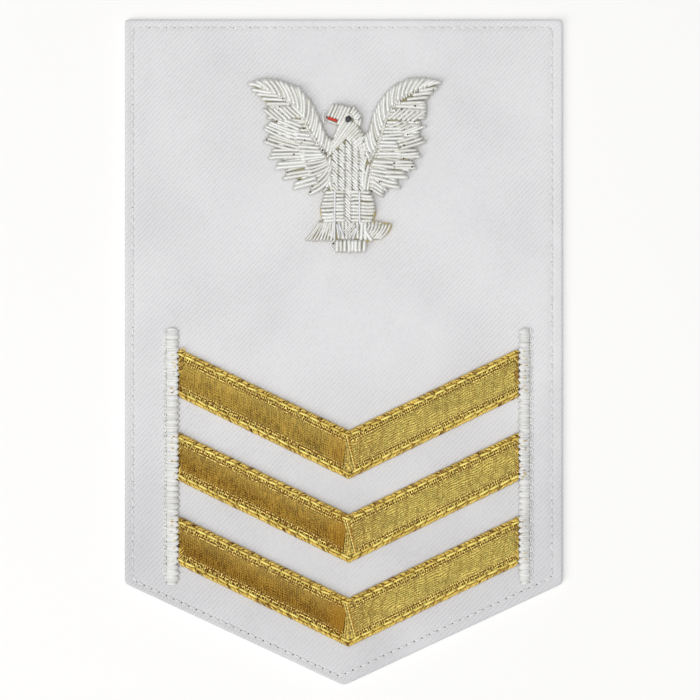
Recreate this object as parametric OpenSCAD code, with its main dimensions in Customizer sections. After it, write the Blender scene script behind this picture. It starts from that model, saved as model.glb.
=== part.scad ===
// Rank chevron patch: a five-sided cloth badge with a purl-wire eagle over three gold lace chevrons.
// It lies face up. Z = 0 is the underside of the hem, +Y points to the top edge, and the origin is
// the middle of the patch's outline. All lengths are in millimetres.

/* [Ground cloth] */
// Width across the straight sides
patch_w = 105.2; // [98:0.1:120]
// Length of the straight sides
side_h = 135.5; // [130:0.5:155]
// Drop of the point below the side corners
point_drop = 24.5; // [16:0.5:28]
// Thickness of the twill
cloth_t = 1; // [1:0.1:1.5]
// Width of the hem that is turned under
hem_w = 6; // [3:0.5:9]

/* [Chevrons] */
// Length of a chevron from end to end
chevron_span = 81.8; // [70:0.1:86]
// Slope of the arms
chevron_angle = 25.8; // [23:0.1:27]
// Step from one chevron to the next
chevron_pitch = 20.1; // [15:0.1:22]
// Height of the lowest chevron's point above the point of the cloth
chevron_base = 9.6; // [7:0.1:14]
// Sideways shift of the chevrons from the middle
chevron_shift = 1.2; // [-1:0.1:2]
// Width of the lace
lace_w = 10.2; // [7:0.1:12]
// Thickness of the lace
lace_t = 1; // [1:0.05:1.5]
// Thickness of the corded edge of the lace
cord_d = 1.4; // [0.9:0.05:1.6]
// How far the corded edge stands above the lace
cord_rise = 0.3; // [0.1:0.05:0.4]
// Width of the fold at the mitre, at its wide end
fold_w = 2; // [1:0.1:3]
// Thickness of the fold at the mitre
fold_t = 0.25; // [0.15:0.05:0.4]

/* [End binding] */
// Width of the stitched column over the lace ends
binding_w = 3; // [2:0.1:4]
// Height of the stitched column above the cloth
binding_rise = 1.1; // [0.8:0.1:1.3]
// How far the column runs past the lace at its top and foot
binding_past = 5; // [2:0.1:8]

/* [Eagle] */
// Width from wing tip to wing tip
eagle_w = 46; // [40:0.5:50]
// Height of the eagle's shoulder line above the middle of the patch
eagle_rise = 47.9; // [45:0.1:52]
// Sideways shift of the eagle from the middle
eagle_shift = 1; // [-2:0.1:2]
// Thickness of the felt under the eagle
felt_t = 1; // [1:0.1:2]
// Thickness of a purl
purl_d = 0.58; // [0.5:0.02:0.7]
// Radius of the strands that make the ropes of the breast
strand_r = 0.42; // [0.35:0.01:0.5]
// Width of the eye bead
eye_d = 1.3; // [0.8:0.1:1.6]

/* [Clearance] */
// Gap between a piece and what it lies on or beside
seat_gap = 0.1; // [0.05:0.01:0.15]

/* [Hidden] */

patch_h = side_h + point_drop;
cloth_z = 2 * cloth_t;
slope = atan2(point_drop, patch_w / 2);
lace_z = cloth_z + seat_gap;
lace_rise = lace_w / cos(chevron_angle);
arm_rise = chevron_span / 2 * tan(chevron_angle);
felt_z = cloth_z + seat_gap;
purl_z = felt_z + felt_t + seat_gap;
purl_gap = 0.1;
cord_margin = 0.05;
purl_pitch = purl_d + purl_gap;
share = eagle_w / 100;

// The eagle's tables are in hundredths of its width: x from its middle line and y up from its
// shoulder line. A row is a flat fan of purls: the outer ends of its first and last edge, the
// inner ends of the same edges, and the bow of each purl as a share of its length.
OUTER_A = 0;
OUTER_B = 1;
INNER_A = 2;
INNER_B = 3;
BOW = 4;

// Long feathers from the wing tip round to the body, then the short ones that cover their roots
FEATHERS = [
    [[52.0, 34.5], [38.0, 23.5], [46.0, 34.0], [28.5, 23.5], 0],
    [[30.5, 23.0], [45.5, 20.5], [21.5, 15.5], [36.5, 16.0], 0],
    [[42.5, 19.0], [44.0, 12.5], [26.5, 12.0], [28.0, 5.0], -0.03],
    [[40.5, 9.0], [44.0, 4.5], [28.5, 4.5], [28.0, -0.5], -0.03],
    [[39.5, 1.5], [41.5, -4.0], [27.5, -1.0], [27.0, -5.5], -0.02],
    [[37.0, -5.0], [38.5, -10.0], [25.5, -6.0], [23.5, -10.0], 0.02],
    [[33.0, -10.5], [34.0, -15.0], [23.0, -10.5], [19.5, -14.0], 0.03],
    [[27.5, -15.5], [28.5, -21.0], [20.0, -14.0], [21.0, -19.5], 0.04],
    [[19.5, -19.5], [20.0, -24.5], [12.0, -12.5], [9.5, -17.0], 0.06]];
COVERTS = [
    [[26.0, 12.0], [27.5, 5.0], [21.5, 14.0], [18.0, 5.5], 0],
    [[28.0, 4.5], [27.5, -0.5], [18.0, 5.0], [14.5, 0.5], 0],
    [[27.0, -1.0], [26.0, -5.5], [14.5, -0.5], [12.0, -3.5], 0],
    [[25.0, -6.0], [23.0, -10.0], [11.5, -4.0], [10.0, -7.5], 0],
    [[22.5, -10.5], [19.0, -14.0], [9.8, -8.0], [9.5, -12.0], 0]];
// The row of purls along the front of the wing runs between two curves, each given by its four
// control points from the wing tip to the shoulder
FRONT_EDGE = [[54.5, 35.0], [21.5, 45.0], [19.5, 24.0], [8.5, 5.0]];
FRONT_QUILL = [[49.0, 35.0], [19.0, 28.5], [23.0, 13.0], [10.5, -3.0]];
front_run = 23.5;
front_bow = 0.03;
front_start = 0.07;
front_end = 0.97;
front_lean = 0.05;
front_ease = 0.1;
// The felt stops short of the tips of the wing's purls
felt_reach = 0.92;
felt_steps = 8;
// The wing on the right is a little shorter, and its upper part leans towards the head
right_reach = 0.97;
right_step = 0.3;
right_knee = 4;
right_lean = 0.1;
right_lift = 0.03;

// Brow, face, throat, crown, nape and lower beak
HEAD = [
    [[-8.0, 25.0], [0.5, 24.0], [-12.5, 20.0], [-4.0, 18.5], 0],
    [[1.0, 24.5], [4.5, 24.5], [-7.5, 9.0], [-6.0, 4.0], 0],
    [[1.0, 15.5], [6.5, 13.5], [-6.0, 3.5], [-4.5, -0.5], 0],
    [[5.0, 24.8], [8.0, 19.5], [2.5, 19.5], [4.5, 16.0], 0],
    [[8.3, 19.0], [8.6, 14.0], [5.2, 15.8], [6.9, 13.6], 0],
    [[-12.5, 16.6], [-12.5, 15.0], [-5.5, 14.9], [-5.5, 13.3], 0]];
TONGUE = [[-11.0, 18.6], [-11.0, 16.9], [-5.0, 17.0], [-5.0, 15.4], 0];
EYE = [0.3, 17.5];
eye_taper = 0.7;
NECK = [[4.2, 9.6], [7.6, 12.0], [3.6, 3.5], [8.4, 2.4], 0];

// Ropes of the breast: middle line and top
ROPES = [[-6.6, -1.5], [-3.1, -1.5], [0.4, 3.0], [3.9, 2.0], [7.4, 0.0]];
rope_foot = -19.5;
rope_w = 3.0;
rope_lean = -38;
rope_pitch = 1.8;

// Thighs: rows of purls in four blocks, beside a middle rope and two cords
thigh_top = -19.9;
thigh_foot = -36.0;
thigh_step = 1.78;
thigh_half = 14.2;
thigh_belly = -28.0;
thigh_round = 15.0;
thigh_clear = 1.4;
cord_x = 6.4;
cord_top = -20.6;
cord_foot = -45.0;

TAIL_LEFT = [
    [[-22.0, -44.5], [-15.8, -45.6], [-14.8, -37.5], [-11.5, -39.0], 0],
    [[-15.4, -45.6], [-7.6, -45.8], [-11.2, -38.6], [-7.6, -37.2], 0]];
TAIL_RIGHT = [
    [[12.2, -37.2], [23.4, -37.6], [10.4, -40.0], [17.2, -44.8], 0],
    [[8.4, -38.0], [9.4, -39.8], [9.8, -46.0], [15.4, -45.6], 0]];
TAIL_CENTRE = [
    [[1.0, -37.4], [5.0, -41.6], [-2.4, -39.8], [0.0, -44.4], 0],
    [[-5.6, -37.2], [-4.0, -37.2], [-1.9, -44.8], [-0.3, -44.8], 0]];
CLAWS = [[-6.6, -51.0], [9.4, -51.0], [-6.6, -45.9], [9.4, -45.9], 0];

// Outline of the felt under the head, body and tail
BODY_FELT = [
    [-8.0, 24.5], [-1.5, 23.5], [2.5, 24.8], [5.5, 24.3], [7.5, 21.0], [7.5, 14.5], [10.0, 7.0],
    [11.5, 0.5], [11.5, -18.5], [13.5, -22.5], [14.6, -28.0], [13.8, -33.5], [12.5, -36.6],
    [23.8, -37.0], [22.8, -40.0], [17.5, -45.0], [10.5, -46.5], [9.6, -50.6], [-6.8, -50.6],
    [-8.5, -46.0], [-21.5, -44.6], [-15.2, -37.4], [-12.5, -36.2], [-14.2, -31.5], [-14.2, -26.0],
    [-12.5, -21.0], [-9.2, -18.0], [-8.5, 1.5], [-7.0, 8.0], [-6.0, 13.5], [-12.0, 15.2],
    [-12.0, 20.5]];
// Where the felt under a wing joins the body's
WING_ROOT = [[9, -18], [5, -18], [5, 2]];

// Point on a curve with four control points
function curve(c, t) = pow(1 - t, 3) * c[0] + 3 * pow(1 - t, 2) * t * c[1]
                     + 3 * (1 - t) * t * t * c[2] + pow(t, 3) * c[3];

function between(a, b, u) = a * (1 - u) + b * u;

function cross2(a, b) = a[0] * b[1] - a[1] * b[0];

// Clear width of a fan across its purls, and the number that fit side by side
function fan_width(f) =
    let (run = f[OUTER_A] + f[OUTER_B] - f[INNER_A] - f[INNER_B])
    min(abs(cross2(run, f[OUTER_B] - f[OUTER_A])), abs(cross2(run, f[INNER_B] - f[INNER_A])))
    / norm(run);
function fan_count(f) = max(1, floor(fan_width(f) * share / purl_pitch));

// A wing point for the chosen side: the left wing is the mirror image of a fuller right one
function wing_point(p, side) =
    let (over = max(0, p[1] - right_knee))
    side < 0 ? p : [p[0] * right_reach + right_step - right_lean * over, p[1] + right_lift * over];
function wing_fan(f, side) = [for (i = [OUTER_A:INNER_B]) wing_point(f[i], side), f[BOW]];

// Outline of one of the cloth's plies, drawn in by d on every side
function cloth_outline(d) =
    let (x = patch_w / 2 - d, foot = d / cos(slope) - patch_h / 2, corner = foot + x * tan(slope))
    [[x, corner], [x, patch_h / 2 - d], [-x, patch_h / 2 - d], [-x, corner], [0, foot]];

module ground_cloth() {
    color("whitesmoke")
    difference() {
        hull()
            for (a = [0:30:180])
                translate([0, 0, cloth_t * (1 - cos(a))])
                    linear_extrude(0.001)
                        polygon(cloth_outline(cloth_t * (1 - sin(a))));
        translate([0, 0, -cloth_t])
            linear_extrude(2 * cloth_t)
                polygon(cloth_outline(hem_w));
    }
}

// Outline of a chevron, or of its right arm alone, with its outer point at the origin
function arm_outline(x) = [[0, 0], [x, abs(x) * tan(chevron_angle)],
                           [x, abs(x) * tan(chevron_angle) + lace_rise], [0, lace_rise]];

module lace_cord(side, inset) {
    intersection() {
        translate([0, inset / cos(chevron_angle), lace_t + cord_rise - cord_d / 2])
            rotate([90, 0, 90 + side * (chevron_angle - 90) + side * 90])
                translate([0, 0, -chevron_span])
                    cylinder(h = 2 * chevron_span, d = cord_d, $fn = 32);
        linear_extrude(3 * lace_t)
            polygon(arm_outline(side * chevron_span / 2));
    }
}

module lace() {
    edge = cord_d / 2 + cord_margin;
    fold_foot = 1.2 * cord_d;
    color("goldenrod") {
        linear_extrude(lace_t)
            union() {
                polygon(arm_outline(chevron_span / 2));
                polygon(arm_outline(-chevron_span / 2));
            }
        for (side = [-1, 1], inset = [edge, lace_w - edge])
            lace_cord(side, inset);
        // The fold of the mitre lies over the right arm
        linear_extrude(lace_t + fold_t)
            polygon([[0, lace_rise - fold_foot], [0, fold_foot],
                     [fold_w, fold_foot + fold_w * tan(chevron_angle)]]);
    }
}

module lace_at(step) {
    translate([chevron_shift, chevron_base - patch_h / 2 + step * chevron_pitch, lace_z])
        lace();
}

module lace_top() { lace_at(2); }
module lace_middle() { lace_at(1); }
module lace_bottom() { lace_at(0); }

// A stitched column stands beside the raw ends of the three laces
module end_binding(side) {
    x = chevron_shift + side * (chevron_span / 2 + seat_gap + binding_w / 2);
    foot = chevron_base - patch_h / 2 + arm_rise - binding_past;
    head = chevron_base - patch_h / 2 + arm_rise + 2 * chevron_pitch + lace_rise + binding_past;
    arch_r = (pow(binding_w / 2, 2) + pow(binding_rise, 2)) / (2 * binding_rise);
    color("white")
    intersection() {
        translate([x, foot, lace_z + binding_rise - arch_r])
            rotate([-90, 0, 0])
                cylinder(h = head - foot, r = arch_r, $fn = 64);
        translate([x - binding_w, foot - binding_w, lace_z])
            cube([2 * binding_w, head - foot + 2 * binding_w, 2 * binding_rise]);
    }
}

module end_binding_left() { end_binding(-1); }
module end_binding_right() { end_binding(1); }

// Puts the eagle's flat layout on the cloth at height z
module on_cloth(z) {
    translate([eagle_shift, eagle_rise, z])
        children();
}

// One purl between two points of the layout, straight or bowed to the left of its run
module purl(inner, outer, bow, d) {
    run = outer - inner;
    length = norm(run);
    heading = atan2(run[1], run[0]);
    chamfer = d / 6;
    translate([inner[0], inner[1], d / 2])
        rotate([0, 0, heading])
            if (bow == 0) {
                rotate([0, 90, 0])
                    rotate_extrude($fn = 24)
                        polygon([[0, 0], [d / 2 - chamfer, 0], [d / 2, chamfer],
                                 [d / 2, length - chamfer], [d / 2 - chamfer, length], [0, length]]);
            } else {
                sag = abs(bow) * length;
                arc_r = (length * length / 4 + sag * sag) / (2 * sag);
                half = asin(length / 2 / arc_r);
                side = bow > 0 ? 1 : -1;
                translate([length / 2, side * (sag - arc_r), 0])
                    rotate([0, 0, side * 90 - half])
                        rotate_extrude(angle = 2 * half, $fn = 96)
                            translate([arc_r, 0])
                                circle(d = d, $fn = 24);
            }
}

// A flat fan of purls, side by side between its two edges
module fan(f) {
    n = fan_count(f);
    for (i = [0:n - 1]) {
        u = (i + 0.5) / n;
        outer = share * between(f[OUTER_A], f[OUTER_B], u);
        inner = share * between(f[INNER_A], f[INNER_B], u);
        tuck = purl_gap * (outer - inner) / norm(outer - inner);
        purl(inner + tuck, outer - tuck, f[BOW], purl_d);
    }
}

module wing_front(side) {
    n = floor(front_run * share / purl_pitch);
    for (i = [0:n - 1]) {
        u = front_start + (front_end - front_start) * i / (n - 1);
        t = u - front_ease * sin(360 * u) / (2 * PI);
        outer = wing_point(curve(FRONT_EDGE, t), side);
        inner = wing_point(curve(FRONT_QUILL, t + front_lean * (1 - t)), side);
        purl(share * inner, share * outer, front_bow, purl_d);
    }
}

module wing(side) {
    color("gainsboro")
    on_cloth(purl_z)
        mirror([side < 0 ? 1 : 0, 0, 0]) {
            for (f = concat(FEATHERS, COVERTS))
                fan(wing_fan(f, side));
            wing_front(side);
        }
}

module wing_left() { wing(-1); }
module wing_right() { wing(1); }

// Outline of the felt under one wing
function wing_felt(side) =
    concat([for (k = [felt_steps:-1:0])
                let (t = front_start + (front_end - front_start) * k / felt_steps)
                wing_point(between(curve(FRONT_QUILL, t), curve(FRONT_EDGE, t), felt_reach), side)],
           [for (f = FEATHERS, e = [0, 1])
                wing_point(between(f[INNER_A + e], f[OUTER_A + e], felt_reach), side)],
           WING_ROOT);

module felt_padding() {
    color("gold")
    on_cloth(felt_z) {
        linear_extrude(felt_t)
            polygon(share * BODY_FELT);
        for (side = [-1, 1])
            linear_extrude(felt_t)
                polygon(share * [for (p = wing_felt(side)) [side * p[0], p[1]]]);
    }
}

module head() {
    color("gainsboro")
    on_cloth(purl_z)
        for (f = HEAD)
            fan(f);
}

module tongue() {
    color("red")
    on_cloth(purl_z)
        fan(TONGUE);
}

// The eye is a six-sided bead on top of the face's purls
module eye() {
    color("black")
    on_cloth(purl_z + purl_d + seat_gap)
        translate(share * EYE)
            cylinder(h = eye_d / 2, d1 = eye_d, d2 = eye_taper * eye_d, $fn = 6);
}

module neck() {
    color("gainsboro")
    on_cloth(purl_z)
        fan(NECK);
}

// A rope of slanting strands that lie into each other, from its top down to its foot
module rope(x, top, foot) {
    n = floor((top - foot) / rope_pitch);
    lap = rope_w * share - 2 * strand_r;
    for (i = [0:n])
        translate(concat(share * [x, foot + rope_pitch / 2 + (top - foot - rope_pitch) * i / n], strand_r))
            rotate([0, 0, rope_lean])
                hull()
                    for (s = [-1, 1])
                        translate([s * lap / 2 / cos(rope_lean), 0, 0])
                            sphere(strand_r, $fn = 6);
}

module breast() {
    color("gainsboro")
    on_cloth(purl_z)
        for (r = ROPES)
            rope(r[0], r[1], rope_foot);
}

module thighs() {
    rows = floor((thigh_top - thigh_foot) / max(thigh_step, purl_pitch / share));
    inner = (rope_w + thigh_clear) / 2;
    lane = purl_d / share;
    color("gainsboro")
    on_cloth(purl_z) {
        for (i = [0:rows - 1], side = [-1, 1]) {
            y = thigh_top + (thigh_foot - thigh_top) * (i + 0.5) / rows;
            half = thigh_half * sqrt(1 - pow((y - thigh_belly) / thigh_round, 2));
            purl(share * [side * inner, y], share * [side * (cord_x - lane), y], 0, purl_d);
            purl(share * [side * (cord_x + lane), y], share * [side * half, y], 0, purl_d);
        }
    }
}

module belly_rope() {
    color("gainsboro")
    on_cloth(purl_z)
        rope(0, thigh_top, thigh_foot);
}

module leg_cords() {
    color("white")
    on_cloth(purl_z)
        for (side = [-1, 1])
            purl(share * [side * cord_x, cord_foot], share * [side * cord_x, cord_top], 0, purl_d);
}

module tail_left() {
    color("gainsboro")
    on_cloth(purl_z)
        for (f = TAIL_LEFT)
            fan(f);
}

module tail_right() {
    color("gainsboro")
    on_cloth(purl_z)
        for (f = TAIL_RIGHT)
            fan(f);
}

module tail_centre() {
    color("gainsboro")
    on_cloth(purl_z)
        for (f = TAIL_CENTRE)
            fan(f);
}

module claws() {
    color("gainsboro")
    on_cloth(purl_z)
        fan(CLAWS);
}

ground_cloth();
lace_top();
lace_middle();
lace_bottom();
end_binding_left();
end_binding_right();
felt_padding();
wing_left();
wing_right();
head();
tongue();
eye();
neck();
breast();
thighs();
belly_rope();
leg_cords();
tail_left();
tail_right();
tail_centre();
claws();
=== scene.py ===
# %% [markdown]
# A rank chevron patch: white twill, hemmed all round, with an eagle of coiled silver wire above
# three chevrons of gold lace. The solid model gives every piece its place and size. This script
# dresses it thread by thread. Lengths are written in millimetres and turned into metres only
# when a mesh is made, so that they read like a maker's notes.

# %% Load the fixed frame
import math
import random

import bpy
import numpy as np
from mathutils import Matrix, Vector, noise
from mathutils.geometry import delaunay_2d_cdt


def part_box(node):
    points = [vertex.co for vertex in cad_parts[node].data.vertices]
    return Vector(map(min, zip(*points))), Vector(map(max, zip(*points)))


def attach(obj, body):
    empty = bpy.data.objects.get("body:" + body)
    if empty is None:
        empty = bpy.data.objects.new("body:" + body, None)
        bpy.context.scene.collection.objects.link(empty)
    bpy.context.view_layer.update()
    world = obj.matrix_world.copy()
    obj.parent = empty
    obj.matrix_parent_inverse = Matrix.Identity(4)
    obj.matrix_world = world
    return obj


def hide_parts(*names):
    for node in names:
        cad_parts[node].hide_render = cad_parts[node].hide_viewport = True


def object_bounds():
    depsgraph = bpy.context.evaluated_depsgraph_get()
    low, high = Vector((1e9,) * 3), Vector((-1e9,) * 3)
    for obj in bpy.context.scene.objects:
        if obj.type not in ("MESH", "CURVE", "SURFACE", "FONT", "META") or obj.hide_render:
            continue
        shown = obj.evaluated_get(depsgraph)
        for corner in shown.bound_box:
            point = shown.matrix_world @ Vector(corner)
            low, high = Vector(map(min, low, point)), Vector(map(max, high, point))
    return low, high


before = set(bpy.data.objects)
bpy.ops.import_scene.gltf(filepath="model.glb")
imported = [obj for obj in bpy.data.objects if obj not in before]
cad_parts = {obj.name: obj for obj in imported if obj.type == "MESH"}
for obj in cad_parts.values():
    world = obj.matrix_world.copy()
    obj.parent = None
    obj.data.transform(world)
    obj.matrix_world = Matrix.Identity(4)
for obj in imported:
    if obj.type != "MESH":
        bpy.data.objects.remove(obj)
cad_low, cad_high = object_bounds()
MM = 0.001
chance = random.Random(7)


def extent(node):
    """Lowest and highest corner of a solid of the frame, in millimetres."""
    low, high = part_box(node)
    return np.array(low) / MM, np.array(high) / MM


print("nodes in the frame:", len(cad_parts))

# %% [markdown]
# The camera comes first. The badge was laid flat and taken from straight above, so a long lens
# far away keeps its edges parallel. The picture is square and a little wider than the badge.

# %% Camera
VIEW_WIDTH = 168.0
VIEW_CENTRE = (1.5, 0.6)
LENS = 150.0
SENSOR = 36.0

camera = bpy.data.objects.new("camera", bpy.data.cameras.new("camera"))
bpy.context.scene.collection.objects.link(camera)
bpy.context.scene.camera = camera
camera.data.lens = LENS
camera.data.sensor_width = SENSOR
cloth_top = extent("ground_cloth")[1][2]
camera_height = VIEW_WIDTH * LENS / SENSOR + cloth_top
camera.location = Vector((*VIEW_CENTRE, camera_height)) * MM
print("camera height in mm:", round(camera_height))

# %% [markdown]
# The floor is plain and nearly white. It is a stage: it isn't part of the badge. The light is a
# dim pale sky and two broad lamps. The one overhead is what silver wire needs: each coil mirrors
# it as a bright line on its back. The one low on the left gives every thread a bright side.

# %% Floor and light
FLOOR_SIZE = 4000.0
FLOOR_DROP = 0.05
SKY = (0.95, 0.97, 1.0)
SKY_STRENGTH = 0.36
SIDE_AT = (-1300.0, -1000.0, 1650.0)
SIDE_SIZE = 1400.0
SIDE_POWER = 17.0
TOP_AT = (-180.0, -120.0, 2700.0)
TOP_SIZE = 1700.0
TOP_POWER = 41.5
LAMP_COLOUR = (1.0, 0.99, 0.975)


def add_lamp(name, place, size, power, colour):
    """A square lamp that looks at the middle of the badge."""
    lamp = bpy.data.objects.new(name, bpy.data.lights.new(name, "AREA"))
    bpy.context.scene.collection.objects.link(lamp)
    lamp.data.size = size * MM
    lamp.data.energy = power
    lamp.data.color = colour
    lamp.location = Vector(place) * MM
    lamp.rotation_euler = (-lamp.location).to_track_quat("-Z", "Y").to_euler()
    return lamp


sky = bpy.data.worlds.new("sky")
sky.use_nodes = True
sky.node_tree.nodes["Background"].inputs["Color"].default_value = (*SKY, 1)
sky.node_tree.nodes["Background"].inputs["Strength"].default_value = SKY_STRENGTH
bpy.context.scene.world = sky
bpy.context.scene.view_settings.view_transform = "Standard"
add_lamp("side_lamp", SIDE_AT, SIDE_SIZE, SIDE_POWER, LAMP_COLOUR)
add_lamp("top_lamp", TOP_AT, TOP_SIZE, TOP_POWER, LAMP_COLOUR)

# %% [markdown]
# Finishes are node trees. Written node by node they are hard to read, so a small class wraps a
# socket: a sum on two of them adds the Math node for it. A second class holds one material and
# adds every other kind of node through one method.

# %% Sums on sockets
class Signal:
    """A number that changes over the surface. Each operator adds one Math node."""

    def __init__(self, finish, socket):
        self.finish, self.socket = finish, socket

    def math(self, operation, *others):
        """A Math node that takes this signal first."""
        return self.finish.node("ShaderNodeMath", {"operation": operation}, [self, *others])

    def __add__(self, other):
        return self.math("ADD", other)

    def __sub__(self, other):
        return self.math("SUBTRACT", other)

    def __rsub__(self, other):
        return self.finish.node("ShaderNodeMath", {"operation": "SUBTRACT"}, [other, self])

    def __mul__(self, other):
        return self.math("MULTIPLY", other)

    def __truediv__(self, other):
        return self.math("DIVIDE", other)

    def __pow__(self, other):
        return self.math("POWER", other)

    __radd__ = __add__
    __rmul__ = __mul__

    def wave(self):
        """A sine that goes from 0 to 1 and back once for each whole number."""
        return (self * math.tau).math("SINE") * 0.5 + 0.5

    def step(self, low, high):
        """0 below low, 1 above high and a smooth rise between them."""
        settings = {"interpolation_type": "SMOOTHSTEP"}
        return self.finish.node("ShaderNodeMapRange", settings, [self, low, high, 0.0, 1.0])


print("socket class:", Signal.__name__)

# %% One finish
class Finish:
    """One material, built on the Principled shader."""

    def __init__(self, name, **fixed):
        self.material = bpy.data.materials.new(name)
        self.material.use_nodes = True
        self.tree = self.material.node_tree
        self.shader = self.tree.nodes["Principled BSDF"]
        for socket, value in fixed.items():
            self.shader.inputs[socket.replace("_", " ")].default_value = value

    def put(self, socket, value):
        """Links a signal to a socket, or sets a colour or a number on it."""
        if isinstance(value, Signal):
            self.tree.links.new(value.socket, socket)
        elif hasattr(value, "__len__") and socket.type == "RGBA":
            socket.default_value = (*value[:3], 1)
        else:
            socket.default_value = value

    def node(self, kind, settings=None, inputs=(), output=0):
        """Adds a node: its settings first, then its sockets, by place or by name."""
        made = self.tree.nodes.new(kind)
        for name, value in (settings or {}).items():
            setattr(made, name, value)
        pairs = inputs.items() if isinstance(inputs, dict) else enumerate(inputs)
        for key, value in pairs:
            self.put(made.inputs[key], value)
        return Signal(self, made.outputs[output])

    def mix(self, below, above, factor):
        """A colour that goes from below to above as factor goes from 0 to 1."""
        return self.node("ShaderNodeMix", {"data_type": "RGBA"}, {0: factor, 6: below, 7: above}, 2)

    def place(self):
        """The point of the surface in millimetres, as three signals."""
        spot = self.node("ShaderNodeTexCoord", output=3)
        split = self.node("ShaderNodeSeparateXYZ", inputs=[spot]).socket.node
        return [Signal(self, out) / MM for out in split.outputs]

    def noise(self, scale, detail=2.0):
        """Soft noise with about one bump to each scale millimetres."""
        spot = self.node("ShaderNodeTexCoord", output=3)
        sockets = {"Vector": spot, "Scale": 1 / (scale * MM), "Detail": detail}
        return self.node("ShaderNodeTexNoise", None, sockets)

    def grain(self, x, y, z=0.0, detail=1.0):
        """Noise over coordinates of one's own, with one bump to each unit."""
        spot = self.node("ShaderNodeCombineXYZ", inputs=[x, y, z])
        return self.node("ShaderNodeTexNoise", None, {"Vector": spot, "Scale": 1.0, "Detail": detail})

    def attribute(self, name, output=2):
        """A value that each point of the mesh carries: output 2 is a number, output 1 a vector."""
        return self.node("ShaderNodeAttribute", {"attribute_name": name}, output=output)

    def relief(self, height, depth):
        """Bumps of a depth in millimetres, for a height that goes from 0 to 1."""
        sockets = {"Height": height, "Distance": depth * MM, "Strength": 1.0}
        self.feed(Normal=self.node("ShaderNodeBump", None, sockets))

    def feed(self, **signals):
        """Puts colours, numbers or signals into the shader's sockets, given by name."""
        for socket, value in signals.items():
            self.put(self.shader.inputs[socket.replace("_", " ")], value)


print("finish class:", Finish.__name__)

# %% [markdown]
# Most of the badge is thread. A thread is a tube swept along a path, and hundreds of them make
# one piece, so their points are gathered in a bundle and turned into one mesh at the end. Each
# thread also carries a shade, a number from 0 to 1, which its finish uses to make it a little
# lighter or darker than its neighbour.

# %% Bundles of threads
def wall_faces(spot, flip=False):
    """Quads between closed rings of points. Each row of spot holds the numbers of one ring."""
    turned = np.roll(spot, -1, axis=1)
    around = [spot[:-1], spot[1:], turned[1:], turned[:-1]]
    if flip:
        around = [around[0], *around[:0:-1]]
    return np.stack(around, -1).reshape(-1, 4)


class Bundle:
    """Points and faces gathered from many small threads."""

    def __init__(self):
        self.points, self.faces, self.shades, self.count = [], [], [], 0

    def add(self, points, faces, shade):
        """Adds a small mesh whose faces count its points from 0."""
        self.points.append(points)
        self.faces.extend((np.asarray(faces) + self.count).tolist())
        self.shades.append(np.broadcast_to(shade, len(points)))
        self.count += len(points)

    def add_tube(self, rings, shade):
        """Joins rings of points into a tube with closed ends."""
        count, sides = rings.shape[:2]
        spot = np.arange(count * sides).reshape(count, sides)
        ends = [spot[0] + self.count, spot[-1][::-1] + self.count]
        shade = np.repeat(np.broadcast_to(shade, count), sides)
        self.add(rings.reshape(-1, 3), wall_faces(spot), shade)
        self.faces += [end.tolist() for end in ends]


print("bundle class:", Bundle.__name__)

# %% Sweeping a tube along a path
TOO_STEEP = 0.25


def sweep(path, radius, sides=8, squash=1.0, ridge=0.0, pitch=1.0):
    """Rings round a path. The ridge winds round the tube once for each pitch of its length."""
    path = np.asarray(path, float)
    along = np.gradient(path, axis=0)
    along /= np.linalg.norm(along, axis=1)[:, None]
    # Where the path stands nearly upright, its heading from end to end gives the sideways direction
    heading = (path[-1] - path[0]) * [1, 1, 0]
    heading /= np.linalg.norm(heading) + 1e-9
    flat = along * [1, 1, 0]
    run_flat = np.linalg.norm(flat, axis=1)[:, None]
    flat = np.where(run_flat > TOO_STEEP, flat / np.maximum(run_flat, 1e-9), heading)
    aside = np.stack([-flat[:, 1], flat[:, 0], np.zeros(len(path))], 1)
    upward = np.cross(along, aside)
    run = np.r_[0, np.cumsum(np.linalg.norm(np.diff(path, axis=0), axis=1))]
    angle = np.arange(sides) * math.tau / sides
    wide = np.broadcast_to(radius, len(path))[:, None]
    wide = wide - ridge * (1 - np.cos(math.tau * run[:, None] / pitch - angle))
    cos, sin = np.cos(angle)[None, :, None], np.sin(angle)[None, :, None]
    return path[:, None] + wide[..., None] * (cos * aside[:, None] + squash * sin * upward[:, None])


print("rings and sides of a short tube:", sweep([(0, 0, 0), (1, 0, 0), (2, 0, 0)], 0.3).shape[:2])

# %% [markdown]
# A piece becomes a Blender object here. It rides on the badge's one body, takes its finish, and
# hides the plain solids that it stands for.

# %% Making a piece
def add_piece(name, points, faces, finish, replaces=(), attributes=None, smooth=True):
    """Makes one object from points in millimetres."""
    mesh = bpy.data.meshes.new(name)
    mesh.from_pydata((np.asarray(points) * MM).tolist(), [], faces)
    mesh.materials.append(finish.material)
    for label, values in (attributes or {}).items():
        values = np.asarray(values, np.float32)
        kind, field = ("FLOAT", "value") if values.ndim == 1 else ("FLOAT_VECTOR", "vector")
        mesh.attributes.new(label, kind, "POINT").data.foreach_set(field, values.ravel())
    if smooth:
        mesh.shade_smooth()
    piece = bpy.data.objects.new(name, mesh)
    bpy.context.scene.collection.objects.link(piece)
    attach(piece, "root")
    if replaces:
        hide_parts(*replaces)
    return piece


def add_bundle(name, bundle, finish, replaces=()):
    """Makes one object from all the threads of a bundle."""
    points = np.concatenate(bundle.points)
    shades = {"shade": np.concatenate(bundle.shades)}
    piece = add_piece(name, points, bundle.faces, finish, replaces, shades)
    print(f"{name}: {len(bundle.faces)} faces")
    return piece


def between(a, b, share):
    """The point a share of the way from a to b."""
    return np.asarray(a, float) * (1 - share) + np.asarray(b, float) * share


print("pieces are made by add_piece and add_bundle")
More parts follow.
